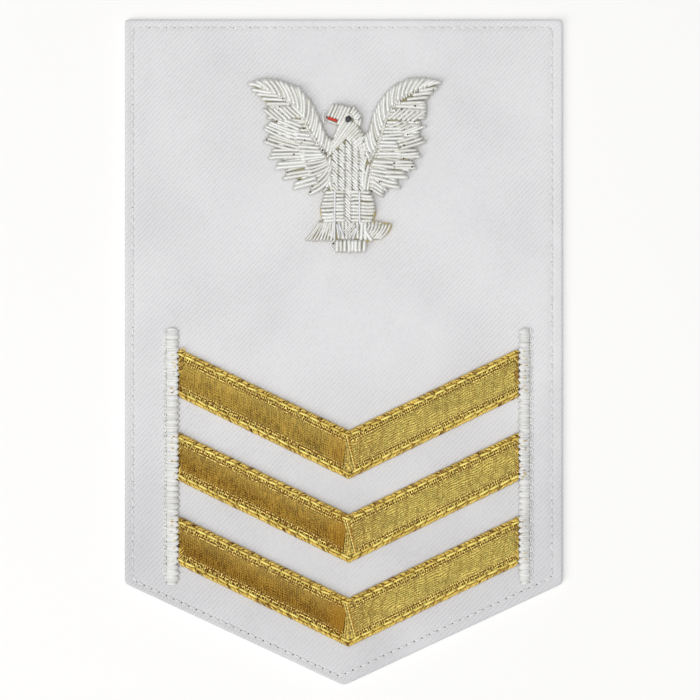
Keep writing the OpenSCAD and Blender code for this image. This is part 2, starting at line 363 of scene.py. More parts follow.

# %% [markdown]
# The ground is wool twill. Its warp floats over two wefts at a time, one thread later in each
# row, which draws fine diagonal ribs that rise to the right. They are far too many to model, so
# they are bump: one wave across the ribs, and a shorter one along each rib for its threads. The
# same heights also paint shade into the colour, darker in the grooves.

# %% Twill finish
TWILL_ANGLE = math.radians(47)
TWILL_PITCH = 0.87
TWILL_FLOAT = 0.62
TWILL_DEPTH = 0.07
TWILL_LIGHT = (0.757, 0.753, 0.765)
TWILL_DARK = (0.55, 0.546, 0.56)
STRAY_SIZE, FUZZ_SIZE, WORN_SIZE = 1.3, 0.26, 0.8
PATCH_SIZE, BROAD_SIZE, FLAT_SIZE = 14.0, 19.0, 24.0
FOOT_SHADE_SPAN = 45.0


def twill_finish():
    """White twill: ribs and threads from waves, wear and broad tone from noise."""
    twill = Finish("white_twill", Roughness=0.85, Sheen_Weight=0.25, Sheen_Roughness=0.5,
                   Specular_IOR_Level=0.25)
    x, y = twill.place()[:2]
    half_span = cad_high[0] / MM
    stray = (twill.noise(STRAY_SIZE) - 0.5) * 0.5
    across = (x * math.sin(TWILL_ANGLE) - y * math.cos(TWILL_ANGLE)) / TWILL_PITCH + stray
    along = (x * math.cos(TWILL_ANGLE) + y * math.sin(TWILL_ANGLE)) / TWILL_FLOAT
    row = across.math("FLOOR")
    rib = across.wave() ** 0.7
    thread = (along + row * 0.37).wave()
    fuzz = twill.noise(FUZZ_SIZE, 2.0)
    worn = twill.noise(WORN_SIZE, 1.0)
    # The nap is brushed flat in the middle of the badge, where the ribs hardly show
    aside = x / half_span
    flat = (twill.noise(FLAT_SIZE, 1.0) + 0.3 * aside.math("ABSOLUTE") - 0.12 * aside).step(0.4, 0.8)
    clear = 0.2 + 0.8 * flat
    height = (rib * (0.25 + 0.35 * thread) + thread * 0.15) * clear + worn * 0.3 + fuzz * 0.4
    # The tone drifts in broad soft patches. Painted shade darkens the colour where the ribs and
    # threads are low, and greys the lower half a little towards the foot
    patch = twill.noise(PATCH_SIZE, 2.0)
    low = (0 - y).step(0.0, FOOT_SHADE_SPAN)
    broad = (twill.noise(BROAD_SIZE, 1.5) - 0.4).math("MAXIMUM", 0.0) * 2.0
    light = (height * 0.9 + patch * 0.3 + 0.2 * (1 - flat)).step(0.1, 0.9)
    twill.feed(Base_Color=twill.mix(TWILL_DARK, TWILL_LIGHT, light - 0.38 * low - 0.3 * broad))
    twill.relief(height, TWILL_DEPTH)
    return twill


TWILL = twill_finish()
print("twill ribs across the badge:", round(2 * cad_high[0] / MM / TWILL_PITCH))

# %% [markdown]
# The cloth is one sheet whose margin is turned under. A plain extruded pentagon would look like
# card, so the mesh is made in rings that follow the outline: close together round the fold and
# the seam, where the shape changes fast, and then open triangles over the middle. The seam pulls
# a shallow furrow, and soft noise lets the cloth rise and fall a little as real cloth does.

# %% Outline of the cloth
POINT_DROP = 24.5
HEM_WIDTH = 6.0
# Sides are listed anticlockwise from the top
SEAM_INSETS = {"top": 2.0, "left": 2.0, "lower_left": 1.65, "lower_right": 2.5, "right": 2.6}
SEAM_SIDES = list(SEAM_INSETS.values())
CORNER_ROUNDS = 3
STITCH = 2.1
STATION = STITCH / 4

half_width, half_height = extent("ground_cloth")[1][:2]
CORNERS = np.array([(half_width, half_height), (-half_width, half_height),
                    (-half_width, POINT_DROP - half_height), (0, -half_height),
                    (half_width, POINT_DROP - half_height)])


def side_lines():
    """A point, a direction and an inward normal for each side, anticlockwise from the top."""
    ends = np.roll(CORNERS, -1, axis=0)
    way = (ends - CORNERS) / np.linalg.norm(ends - CORNERS, axis=1)[:, None]
    return CORNERS, way, np.stack([-way[:, 1], way[:, 0]], 1)


def depth_inside(points, insets):
    """How far each point lies inside the outline when its sides are drawn in by the insets."""
    start, way, normal = side_lines()
    away = np.einsum("psk,sk->ps", points[:, None, :2] - start, normal)
    return (away - np.asarray(insets)).min(1)


def rounded(points, times):
    """A closed line with each point drawn towards the middle of its neighbours, time after time."""
    for _ in range(times):
        points = (np.roll(points, 1, axis=0) + 2 * points + np.roll(points, -1, axis=0)) / 4
    return points


def ring(insets):
    """Points along the outline drawn in by the insets, with its corners a little rounded."""
    start, way, normal = side_lines()
    start = start + normal * np.broadcast_to(insets, 5)[:, None]
    corners = []
    for i in range(5):
        h = (i - 1) % 5
        reach = np.linalg.solve(np.stack([way[h], -way[i]], 1), start[i] - start[h])
        corners.append(start[h] + way[h] * reach[0])
    points = []
    for i in range(5):
        a, b = corners[i], corners[(i + 1) % 5]
        count = round(np.linalg.norm(CORNERS[(i + 1) % 5] - CORNERS[i]) / STATION)
        points.append(between(a, b, np.arange(count)[:, None] / count))
    return rounded(np.concatenate(points), CORNER_ROUNDS)


print("stitches round the hem:", len(ring(0.0)) // 4)

# %% How the cloth rises and falls
FURROW_DEPTH = 0.2
FURROW_WIDTH = 0.55
RIDGE_DROP = 0.06
SWELL, SWELL_SPAN = 0.22, (23, 29)
PUCKER, PUCKER_SPAN = 0.13, (3.1, 3.1)


def rumple(points, span, layer):
    """Soft noise from -1 to 1 at points of the plan, with about one bump to each span."""
    return np.array([noise.noise(Vector((x / span[0], y / span[1], layer))) for x, y in points[:, :2]])


def cloth_height(points):
    """How far the face of the cloth lies below or above flat, in millimetres."""
    seam = depth_inside(points, SEAM_SIDES)
    inward = depth_inside(points, [0] * 5)
    furrow = -FURROW_DEPTH * np.exp(-((seam / FURROW_WIDTH) ** 2))
    ridge = -RIDGE_DROP * (1 + np.tanh((inward - HEM_WIDTH) / 0.8)) / 2
    swell = SWELL * rumple(points, SWELL_SPAN, 0.3) * np.clip((inward - 1) / 8, 0, 1)
    pucker = PUCKER * rumple(points, PUCKER_SPAN, 5.1) * np.exp(-np.abs(seam) / 2.2)
    return furrow + ridge + swell + pucker


print("rise of the middle of the cloth in mm:", cloth_height(np.zeros((1, 2))).round(2)[0])

# %% Filling an outline with triangles
TEST_SQUARE = np.array([(0.0, 0.0), (4.0, 0.0), (4.0, 4.0), (0.0, 4.0)])


def well_inside(points, loop, margin):
    """Which points lie inside a closed line and keep a margin from it."""
    ends = np.roll(loop, -1, axis=0)
    x, y = points[:, :1], points[:, 1:2]
    rise = ends[:, 1] - loop[:, 1]
    cross_x = loop[:, 0] + (y - loop[:, 1]) * (ends[:, 0] - loop[:, 0]) / np.where(rise == 0, 1, rise)
    crossed = ((loop[:, 1] > y) != (ends[:, 1] > y)) & (x < cross_x)
    near = np.hypot(x - loop[:, 0], y - loop[:, 1]).min(1)
    return (crossed.sum(1) % 2 == 1) & (near > margin)


def fill_inside(loop, step):
    """Grid points inside a loop and the triangles that join them to it."""
    low, high = loop.min(0), loop.max(0)
    xs, ys = np.arange(low[0], high[0], step), np.arange(low[1], high[1], step)
    grid = np.stack(np.meshgrid(xs, ys), -1).reshape(-1, 2)
    grid[:, 0] += step / 2 * (np.round((grid[:, 1] - low[1]) / step) % 2)
    grid = grid[well_inside(grid, loop, 0.7 * step)]
    points = [Vector(p) for p in np.concatenate([loop, grid])]
    count = len(loop)
    edges = [(i, (i + 1) % count) for i in range(count)]
    found = delaunay_2d_cdt(points, edges, [], 1, 1e-6)
    source = [old[0] if old else -1 for old in found[3]]
    extra = [i for i, old in enumerate(source) if old < 0]
    for place, i in enumerate(extra):
        source[i] = len(points) + place
    grid = np.concatenate([grid, np.array([found[0][i] for i in extra]).reshape(-1, 2)])
    return grid, [[source[v] for v in face] for face in found[2]]


def area_inside(loop):
    """The area inside a closed line of the plan."""
    ends = np.roll(loop, -1, axis=0)
    return 0.5 * abs(np.sum(loop[:, 0] * ends[:, 1] - ends[:, 0] * loop[:, 1]))


print("a test square of", area_inside(TEST_SQUARE), "square mm gets",
      len(fill_inside(TEST_SQUARE, 1.0)[1]), "triangles")

# %% The cloth's mesh
FOLD_STEPS = 7
FOLD_ROUND = 0.5
BAND_RINGS = (0.8, 1.2, 1.5, 1.75, 2.0, 2.25, 2.5, 2.8, 3.2, 3.8, 4.6, 5.5, 6.3, 7.2, 8.2)
TOP_STEP = 1.3
BACK_STEP = 5.0
ply = cloth_top / 2


def cloth_mesh():
    """Rings from the middle of the back, round the fold, to the middle of the face."""
    rings = [(HEM_WIDTH + 0.4, ply), (HEM_WIDTH, ply * 0.6), (HEM_WIDTH, 0.1)]
    rings += [(HEM_WIDTH - 0.2, 0.0), (4.0, 0.0), (2.0, 0.0)]
    for k in range(FOLD_STEPS + 1):
        turn = math.pi * k / FOLD_STEPS
        rings.append((FOLD_ROUND * (1 - math.sin(turn)), ply * (1 - math.cos(turn))))
    rings += [(inset, cloth_top) for inset in BAND_RINGS]
    points = []
    for inset, height in rings:
        flat = ring(inset)
        rise = cloth_height(flat) * (height / cloth_top) ** 2
        points.append(np.c_[flat, height + rise])
    count = len(points[0])
    spot = np.arange(len(rings) * count).reshape(len(rings), count)
    faces = wall_faces(spot, flip=True).tolist()
    for row, step, face_up in ((0, BACK_STEP, False), (len(rings) - 1, TOP_STEP, True)):
        base = sum(len(p) for p in points)
        grid, triangles = fill_inside(points[row][:, :2], step)
        level = cloth_top + cloth_height(grid) if face_up else np.full(len(grid), ply)
        points.append(np.c_[grid, level])
        place = np.r_[spot[row], base + np.arange(len(grid))]
        for face in triangles:
            corners = [int(place[v]) for v in face]
            faces.append(corners if face_up else corners[::-1])
    return np.concatenate(points), faces


points, faces = cloth_mesh()
CLOTH = add_piece("twill_ground", points, faces, TWILL, ["ground_cloth"])

# %% [markdown]
# One row of lockstitch holds the hem. Each stitch is a short length of thread that comes up
# through one needle hole and goes down through the next, so it is modelled as a small arch whose
# ends sink into the furrow. The needle holes are small flat dark cups between the stitches, painted
# shade: a real pit would have to be cut into the cloth's mesh, and at this size only the shade in
# it shows.

# %% Thread finish and hem stitches
HEM_THREAD = 0.17
HEM_ARCH = 0.2
HEM_SINK = 0.22
HOLE_R = 0.22
HOLE_LIFT = 0.03
HOLE_SIDES = 8
STITCH_ROOM = 0.36
STITCH_SIDES = 6
STITCH_POINTS = 7
LOWER_HOLES, OTHER_HOLES = (0.75, 1.0), (0.3, 0.7)


def thread_finish(name, dark, light, **fixed):
    """A thread whose own shade picks a colour between dark and light."""
    thread = Finish(name, **fixed)
    shade = thread.attribute("shade") + (thread.noise(0.5) - 0.5) * 0.35
    thread.feed(Base_Color=thread.mix(dark, light, shade.step(0.0, 1.0)))
    return thread


def stitch(bundle, start, end, height, radius, arch, sink, shade):
    """A short arched thread between two points of the plan."""
    t = np.linspace(0, 1, STITCH_POINTS)[:, None]
    plan = between(start, end, t)
    level = height - sink + (arch + sink) * np.sin(math.pi * t) ** 0.6
    bundle.add_tube(sweep(np.c_[plan, level], radius, STITCH_SIDES), shade)


def dimple(bundle, centre, height, radius):
    """A small dark cup, painted shade for a needle hole or a hollow end."""
    turn = np.arange(HOLE_SIDES) * math.tau / HOLE_SIDES
    rim = np.c_[centre[0] + radius * np.cos(turn), centre[1] + radius * np.sin(turn),
                np.full(HOLE_SIDES, height + HOLE_LIFT)]
    points = np.r_[rim, [[*centre, height + HOLE_LIFT / 3]]]
    faces = [(i, (i + 1) % HOLE_SIDES, HOLE_SIDES) for i in range(HOLE_SIDES)]
    bundle.add(points, faces, 0.5)


WHITE_THREAD = thread_finish("white_thread", (0.68, 0.68, 0.665), (0.82, 0.82, 0.80), Roughness=0.55)
# Painted shade: the dark colour of the needle holes of the hem and beside the columns
HOLE = Finish("needle_hole", Roughness=1.0)
HOLE.feed(Base_Color=(0.13, 0.13, 0.13))
seam = ring(SEAM_SIDES)
seam_heights = cloth_top + cloth_height(seam)
stitches, holes, back = Bundle(), Bundle(), Bundle()
per_stitch = round(STITCH / STATION)
for first in range(0, len(seam), per_stitch):
    here, there = seam[first], seam[(first + per_stitch) % len(seam)]
    ends = [between(a, b, STITCH_ROOM / 2) for a, b in ((here, there), (there, here))]
    shade = chance.uniform(0.3, 1.0)
    stitch(stitches, *ends, seam_heights[first], HEM_THREAD, HEM_ARCH, HEM_SINK, shade)
    stitch(back, *ends, HEM_THREAD / 2, HEM_THREAD / 2, 0.0, 0.0, shade)
    # The holes are plainest along the two lower sides
    share = chance.uniform(*(LOWER_HOLES if here[1] < CORNERS[2][1] else OTHER_HOLES))
    dimple(holes, here, seam_heights[first], HOLE_R * share)
add_bundle("hem_stitches", stitches, WHITE_THREAD)
add_bundle("hem_back_stitches", back, WHITE_THREAD)
add_bundle("hem_needle_holes", holes, HOLE)

# %% [markdown]
# The lace is a woven band of gilt thread. Its parts are modelled at three scales. The band is one
# closed strip, bent at the point of the chevron, with a raised edge on both sides. Over each edge
# lie hundreds of small loops of thread and a row of long bright stitches. The fine ribs between
# the edges are bump and colour, which need to know where they are on the band: each point keeps
# its distance along the arm, its distance across the band and the tone of its arm, which sets how
# much painted reflection it gets. Ribbed lace throws light to one side, so a left and a right arm
# never look alike. Light alone can't show that on bump, so that reflection is painted into the
# colours of the two kinds of arm: the left ones are painted deeper and a warm brown against the
# fold, and the right ones paler, with painted glints in pale flecks and painted shade in creases.

# %% The lace's field and border
LACE_WIDTH = 10.2
THREAD_PITCH = 0.47
RIB_WIDTH, RIB_LENGTH = 0.34, 1.6
SPARK_SIZE = 0.27
DOT_PITCH = 0.6
DOTS_FROM, DOTS_TO = 1.2, 3.2
GLINT_LENGTH, GLINT_WIDTH = 0.5, 0.4


def lace_field(lace, along, across, tone, right):
    """Light and dark between the edges: wavy threads and rows, long ribs and single bright dots."""
    threads = (along / THREAD_PITCH + lace.noise(5.0, 1.0) * 3.0).wave()
    rows = (across / THREAD_PITCH + lace.noise(4.0, 1.0) * 4.0).wave()
    ribs = lace.grain(along / RIB_WIDTH, across / RIB_LENGTH, tone)
    sparkle = lace.grain(along / SPARK_SIZE, across / SPARK_SIZE, tone * 5 + 7)
    field = threads * 0.2 + rows * 0.2 + ribs * 0.6 + sparkle * 0.9 + lace.noise(6.0) * 0.4
    return field + ((rows - 0.5) * 0.5 - (sparkle - 0.5) * 0.4) * right


def lace_border(lace, along, across, edge):
    """The stitched border: how near it is, its rows of dark dots and its painted glints, pale spots between
    them.
    """
    row = ((edge - DOTS_FROM) / DOT_PITCH).math("FLOOR")
    dots = (along / DOT_PITCH + row * 0.5 + lace.noise(1.2) * 1.5).wave()
    dots = (dots * ((edge - DOTS_FROM) / DOT_PITCH - 0.25).wave()).step(0.06, 0.3)
    near = 1 - edge.step(DOTS_FROM + 0.7, DOTS_TO)
    glint_spots = lace.grain(along / GLINT_LENGTH, across / GLINT_WIDTH, 3.0).step(0.4, 0.6)
    return near, dots, glint_spots


print("threads across the lace:", round(LACE_WIDTH / THREAD_PITCH))

# %% Lace finish
# Painted light in the lace: GILT_LEFT and GILT_RIGHT are the painted reflection of the left and right arms,
# GILT_WARM the painted warm brown of the left arm by the fold, GILT_PALE the colour of painted sheen and
# glints, and GILT_DEEP that of the dark dots and of painted shade
GILT_LEFT = (0.092, 0.032, 0.001)
GILT_RIGHT = (0.336, 0.279, 0.077)
GILT_DEEP = (0.12, 0.032, 0.006)
GILT_WARM = (0.22, 0.095, 0.006)
GILT_LIGHT = (0.64, 0.425, 0.068)
GILT_PALE = (0.86, 0.70, 0.21)
FLECK_LENGTH, FLECK_WIDTH = 0.62, 0.3
CREASE_PITCH = 2.9
LACE_DEPTH = 0.1


def lace_finish():
    """Gilt lace, from the field's light and dark to the border over it."""
    lace = Finish("gold_lace", Metallic=0.85, Roughness=0.45, Specular_IOR_Level=0.2)
    weave = lace.attribute("weave", 1)
    split = lace.node("ShaderNodeSeparateXYZ", inputs=[weave]).socket.node
    along, across, tone = (Signal(lace, out) for out in split.outputs)
    edge = LACE_WIDTH / 2 - (across - LACE_WIDTH / 2).math("ABSOLUTE")
    right = tone.step(-0.5, 0.8)
    field = lace_field(lace, along, across, tone, right)
    body = lace.mix(GILT_LEFT, GILT_RIGHT, tone.step(-1.0, 1.0))
    dark = lace.mix((0.0, 0.0, 0.0), body, 0.42)
    light = lace.mix(body, GILT_LIGHT, 0.26 + 0.09 * tone.step(-1.2, 0.0))
    colour = lace.mix(dark, light, field.step(0.85, 1.5))
    # Painted sheen: the left arms are painted lighter towards their upper edge, the right arms towards
    # their lower one
    sheen = (across / LACE_WIDTH).step(0.35, 0.95) * (1 - right)
    sheen = sheen + (1 - (across / LACE_WIDTH).step(0.1, 0.5)) * right
    # Painted glints: pale flecks along the right arms. Beside the fold, painted shade darkens the hollows
    # between them
    glint_flecks = lace.grain(along / FLECK_LENGTH, across / FLECK_WIDTH, 11.0).step(0.5, 0.68)
    fold_hollow_shade = (1 - along.step(2.0, 14.0)) * right
    colour = lace.mix(colour, GILT_PALE, sheen * 0.11 + glint_flecks * right * 0.33)
    # Painted shade: dark creases across the right arms
    crease_shade = (along / CREASE_PITCH + lace.noise(9.0) * 2.0).wave() ** 8
    colour = lace.mix(colour, GILT_DEEP, (1 - glint_flecks) * fold_hollow_shade * 0.3 + crease_shade * right * 0.26)
    near, dots, glint_spots = lace_border(lace, along, across, edge)
    # Painted glints: pale spots in the border between the dark dots
    colour = lace.mix(colour, GILT_PALE, near * (1 - dots) * glint_spots * 0.85)
    colour = lace.mix(colour, GILT_DEEP, near * dots * 0.95)
    # Painted shade: the band is darker under its edge threads, where it shows between them
    colour = lace.mix(colour, GILT_DEEP, (1 - edge.step(0.9, 1.4)) * 0.5)
    # Painted reflection: the left arm is painted a warm brown against the fold
    fold = (1 - along.step(0.2, 8.0)) * (1 - tone.step(-1.0, 0.2))
    colour = lace.mix(colour, GILT_WARM, fold * (0.72 - 0.42 * field.step(0.85, 1.5)))
    lace.feed(Base_Color=colour)
    lace.relief(field * 0.5 + near * (glint_spots - dots) * 0.5, LACE_DEPTH)
    return lace


LACE = lace_finish()
print("nodes in the lace finish:", len(LACE.tree.nodes))

# %% [markdown]
# The strip is made from one profile, which is drawn at each step from end to end of the chevron.
# The profile rises steeply at the edges and is flat between them. It is the same on both arms,
# and what bends is only the line that it follows, so the lace keeps its width round the point.

# %% Where the lace lies
LACE_ANGLE = math.radians(25.8)
LACE_BASE = 9.6
LACE_PITCH = 20.1
EDGE_ROWS = ((0.2, 0.0), (0.1, 0.5), (0.15, 0.9), (0.4, 1.05), (0.8, 1.08), (1.15, 1.0), (1.45, 0.9),
             (1.75, 0.95), (2.1, 1.0), (2.6, 1.0), (3.4, 1.0))
LACE_NODES = ("lace_bottom", "lace_middle", "lace_top")
CHEVRON_POINTS = [LACE_BASE - half_height + step * LACE_PITCH for step in range(len(LACE_NODES))]

lace_low, lace_high = extent("lace_bottom")
lace_seat = lace_low[2]
lace_middle_x = (lace_low[0] + lace_high[0]) / 2
arm_reach = (lace_high[0] - lace_low[0]) / 2
slope = math.tan(LACE_ANGLE)
stretch = 1 / math.cos(LACE_ANGLE)


def on_lace(point_y, reach, across, height):
    """A point of a chevron: reach is the distance to the right of its middle line."""
    across = np.asarray(across, float)
    reach = np.asarray(reach, float)
    x = lace_middle_x + reach + 0 * across
    y = point_y + np.abs(reach) * slope + across * stretch
    return np.stack([x, y, lace_seat + height + 0 * x], -1)


def band_profile():
    """Places across the band and heights over its seat, once round from the lower edge."""
    rows = list(EDGE_ROWS)
    rows += [(v, 1.0) for v in np.arange(4.2, LACE_WIDTH - 4.0, 0.9)]
    rows += [(LACE_WIDTH - v, h) for v, h in reversed(EDGE_ROWS)]
    return np.array(rows)


print("points in the band's profile:", len(band_profile()))

# %% The bands of lace
COLUMN_STEP = 0.7
SINK = 0.18
WOBBLE, WOBBLE_SPAN = 0.05, (2.3, 2.3)
TUCK_DEPTH, TUCK_REACH = 0.07, 0.5
# How much painted reflection the left and right arm of each band gets, from -1, the deep left colour, to 1,
# the pale right one
ARM_TONES = ((-1.0, 1.0), (-0.75, 0.85), (-0.4, 1.0))


def lace_band(name, node, point_y, tones):
    """One chevron, as a closed strip. Just left of the fold its top is tucked down a little."""
    across, level = band_profile().T
    arm = np.arange(0, arm_reach, COLUMN_STEP)
    reaches = np.unique(np.round(np.r_[np.arange(-arm_reach, 0, COLUMN_STEP), arm, arm_reach], 4))
    rings, weave = [], []
    for reach in reaches:
        wobble = WOBBLE * rumple(np.c_[np.full(len(across), reach), across], WOBBLE_SPAN, point_y)
        tuck = TUCK_DEPTH * math.exp(-((reach + TUCK_REACH) ** 2) / 0.9) if reach < 0.4 else 0
        height = np.where(level > 0.5, level + wobble - tuck, level)
        height[level == 0] = -SINK
        rings.append(on_lace(point_y, reach, across, height))
        tone = tones[0] if reach <= 0 else tones[1]
        weave.append(np.stack([abs(reach) * stretch + 0 * across, across, tone + 0 * across], -1))
    rings = np.array(rings)
    spot = np.arange(rings.shape[0] * len(across)).reshape(-1, len(across))
    faces = wall_faces(spot).tolist() + [spot[0].tolist(), spot[-1][::-1].tolist()]
    weave = np.concatenate(weave)
    band = add_piece(name, rings.reshape(-1, 3), faces, LACE, [node], {"weave": weave})
    flat_length = 2 * arm_reach * stretch
    flat_length * MM
    return len(faces)


for node, point_y, tones in zip(LACE_NODES, CHEVRON_POINTS, ARM_TONES):
    print(node, "faces:", lace_band(node.replace("lace", "band"), node, point_y, tones))

# %% [markdown]
# The edge of the lace is a row of gilt loops that lean along the band. Each one starts under the
# band, comes up over the edge and ends beside the long stitches. The long stitches, in bright
# yellow thread, sew the lace to the cloth; each is about 3 mm long and pulls itself down at both
# ends. Short seed stitches cross the dark line inside them. All three are tubes and not bump,
# because the edge of the lace is seen against white cloth and has to be ragged there too. At the
# point of the chevron the loops turn back a little over the fold, so that no gap opens in it.

# %% Curves, and places along an arm
arm_length = arm_reach * stretch


def smooth(path, count):
    """Points along a smooth curve through the points of a path."""
    path = np.asarray(path, float)
    at = np.linspace(0, len(path) - 1, count)
    padded = np.r_[[2 * path[0] - path[1]], path, [2 * path[-1] - path[-2]]]
    i = np.minimum(at.astype(int), len(path) - 2)
    t = (at - i)[:, None]
    a, b, c, d = (padded[i + k] for k in range(4))
    return 0.5 * (2 * b + (c - a) * t + (2 * a - 5 * b + 4 * c - d) * t ** 2
                  + (3 * b - a - 3 * c + d) * t ** 3)


def arm_point(point_y, arm, along, across, height, far_edge):
    """A point given along one arm, and across it from its lower or its upper edge."""
    across = LACE_WIDTH - across if far_edge else across
    return on_lace(point_y, arm * along / stretch, across, height)


print("length of one arm of lace in mm:", round(arm_length, 1))

# %% Edge loops, long stitches and seed stitches
LOOP_PITCH = 0.46
LOOP_R = 0.21
LOOP_LEAN = 1.5
LOOP_PATH = ((0.15, -0.1), (0.03, 0.45), (0.08, 0.9), (0.22, 1.12), (0.42, 1.1), (0.62, 0.8))
LOOP_BRIGHT = 0.4
LOOP_STRAY = 0.06
TURN_BACK = 0.7
LONG_STITCH = 2.8
LONG_ROOM = 0.16
LONG_R = 0.28
LONG_ACROSS = 1.0
LONG_HEIGHT = 1.13
LONG_DIP = 0.35
SEED_PITCH = 1.15
SEED_R = 0.11
SEED_FROM, SEED_TO = 1.25, 1.8

GILT_LOOP = thread_finish("gilt_loops", (0.20, 0.08, 0.008), (0.82, 0.60, 0.135),
                          Metallic=0.4, Roughness=0.4)
GILT_STITCH = thread_finish("gilt_stitch", (0.58, 0.39, 0.05), (0.95, 0.80, 0.21),
                            Metallic=0.15, Roughness=0.42)


def edge_loop(bundle, point_y, arm, along, far_edge):
    """One loop over the edge of the band. No two are quite the same in size, lean or place."""
    size = chance.uniform(0.8, 1.2)
    lean = LOOP_LEAN * chance.uniform(0.6, 1.4)
    stray = chance.uniform(-LOOP_STRAY, LOOP_STRAY)
    path = [arm_point(point_y, arm, along + lean * k / 5, across * size + stray, height, far_edge)
            for k, (across, height) in enumerate(LOOP_PATH)]
    rings = sweep(smooth(path, 9), LOOP_R * chance.uniform(0.8, 1.1), 6)
    bundle.add_tube(rings, chance.random() ** LOOP_BRIGHT)


def long_stitch(bundle, point_y, arm, start, end, far_edge):
    """One long bright stitch beside the loops, thinner and lower at its ends."""
    t = np.linspace(0, 1, 9)
    stray = chance.uniform(-0.05, 0.15)
    side = 2 * t - 1
    height = LONG_HEIGHT + 0.1 * np.sin(math.pi * t) - LONG_DIP * np.abs(side) ** 8
    path = [arm_point(point_y, arm, along, LONG_ACROSS + stray * s, h, far_edge)
            for along, s, h in zip(start + (end - start) * t, side, height)]
    bundle.add_tube(sweep(path, LONG_R * (1 - 0.35 * np.abs(side) ** 4), 7), chance.uniform(0.3, 1.0))


def seed_stitch(bundle, point_y, arm, along, far_edge):
    """A short bright bit of thread across the dark line beside the long stitches."""
    lean = chance.uniform(-0.15, 0.35)
    path = [arm_point(point_y, arm, along + lean * t, between(SEED_FROM, SEED_TO, t), height, far_edge)
            for t, height in ((0.0, 0.86), (0.3, 1.05), (0.7, 1.06), (1.0, 0.9))]
    bundle.add_tube(sweep(smooth(path, 5), SEED_R * chance.uniform(0.8, 1.2), 6), chance.uniform(0.4, 1.0))


print("loops along one edge of an arm:", round(arm_length / LOOP_PITCH))

# %% Sewing the edges
loops, long_stitches, seeds = Bundle(), Bundle(), Bundle()
for point_y in CHEVRON_POINTS:
    for arm in (-1, 1):
        for far_edge in (False, True):
            for along in np.arange(-TURN_BACK, arm_length - LOOP_LEAN, LOOP_PITCH):
                edge_loop(loops, point_y, arm, along + chance.uniform(-0.08, 0.08), far_edge)
            for along in np.arange(0.3, arm_length - 0.4, SEED_PITCH):
                seed_stitch(seeds, point_y, arm, along + chance.uniform(-0.4, 0.4), far_edge)
            start = chance.uniform(0.4, 1.2) if arm > 0 else -TURN_BACK
            while start + 1.0 < arm_length:
                end = min(start + LONG_STITCH * chance.uniform(0.88, 1.1), arm_length)
                room = LONG_ROOM / 2
                long_stitch(long_stitches, point_y, arm, start + room, end - room, far_edge)
                start = end
add_bundle("lace_edge_loops", loops, GILT_LOOP)
add_bundle("lace_long_stitches", long_stitches, GILT_STITCH)
add_bundle("lace_seed_stitches", seeds, GILT_STITCH)

# %% [markdown]
# At the point of each chevron the lace is folded under itself, which leaves a narrow triangle of
# lace over the right arm. The triangle is a small closed shape with the finish of the bands. Rows
# of very short stitches run down its right side: a dark one on the edge, a bright one beside it
# and a duller one further in. A whole cord would look like a single wire here.

# %% Mitre folds
FOLD_HEIGHT = 0.25
FOLD_CORD_R = 0.14
FOLD_TOP = (-0.35, 9.4)
FOLD_FOOT = (-1.75, 0.6)
FOLD_TOE = (1.85, 1.8)
FOLD_ROWS = 24
FOLD_COLUMNS = 7
FOLD_STITCH = 0.09
# Each row: its offset to the right, its drop, and its darkest and lightest shade
FOLD_LINES = ((-0.28, 0.0, 0.75, 1.0), (0.0, 0.02, 0.0, 0.3), (-0.8, 0.03, 0.3, 0.8))


def mitre_fold(cords, point_y, name):
    """The flap, as rows from its tip to its foot, and the rows of stitches along its edge."""
    base = on_lace(point_y, 0, 0, 1.0)
    top, foot, toe = (base + [x, y * stretch, 0] for x, y in (FOLD_TOP, FOLD_FOOT, FOLD_TOE))
    points, weave = [], []
    u = np.linspace(0, 1, FOLD_COLUMNS)
    crown = FOLD_HEIGHT * (1 - np.abs(2 * u - 1) ** 3)
    for t in np.linspace(0.02, 1, FOLD_ROWS):
        left, right = between(top, foot, t), between(top, toe, t)
        row = between(left, right, u[:, None])
        row[:, 2] += crown * min(1, 4 * t) + 0.02
        points.append(row)
        weave.append(np.stack([9 * t + 0 * u, 2.2 + 1.6 * u, 0.3 + 0 * u], -1))
    count = len(points) * FOLD_COLUMNS
    upper = np.concatenate(points)
    lower = upper * [1, 1, 0] + [0, 0, top[2] - 0.12]
    grid = np.arange(count).reshape(-1, FOLD_COLUMNS)
    faces = np.stack([grid[:-1, :-1], grid[1:, :-1], grid[1:, 1:], grid[:-1, 1:]], -1)
    faces = faces.reshape(-1, 4).tolist()
    faces += [[i + count for i in reversed(f)] for f in faces]
    rim = [*grid[0, :-1], *grid[:-1, -1], *grid[-1, :0:-1], *grid[:0:-1, 0]]
    faces += [[a, b, b + count, a + count] for a, b in zip(rim, np.roll(rim, -1))]
    faces = np.array(faces).tolist()
    weave = {"weave": np.tile(np.concatenate(weave), (2, 1))}
    add_piece(name, np.r_[upper, lower], faces, LACE, (), weave)
    for line, drop, low, high in FOLD_LINES:
        for start in np.arange(0.02, 0.97, FOLD_STITCH):
            t = np.linspace(start, start + FOLD_STITCH * 0.92, 6)[:, None]
            edge = between(top, toe, t) + [line, 0, FOLD_HEIGHT * 0.6 - drop]
            edge[[0, -1], 2] -= 0.1
            cords.add_tube(sweep(edge, FOLD_CORD_R, 6), chance.uniform(low, high))


fold_cords = Bundle()
for number, point_y in enumerate(CHEVRON_POINTS, 1):
    mitre_fold(fold_cords, point_y, f"mitre_fold_{number}")
GILT_CORD = thread_finish("gilt_cord", (0.52, 0.25, 0.012), (0.95, 0.82, 0.28),
                          Metallic=0.2, Roughness=0.4)
add_bundle("mitre_cords", fold_cords, GILT_CORD)

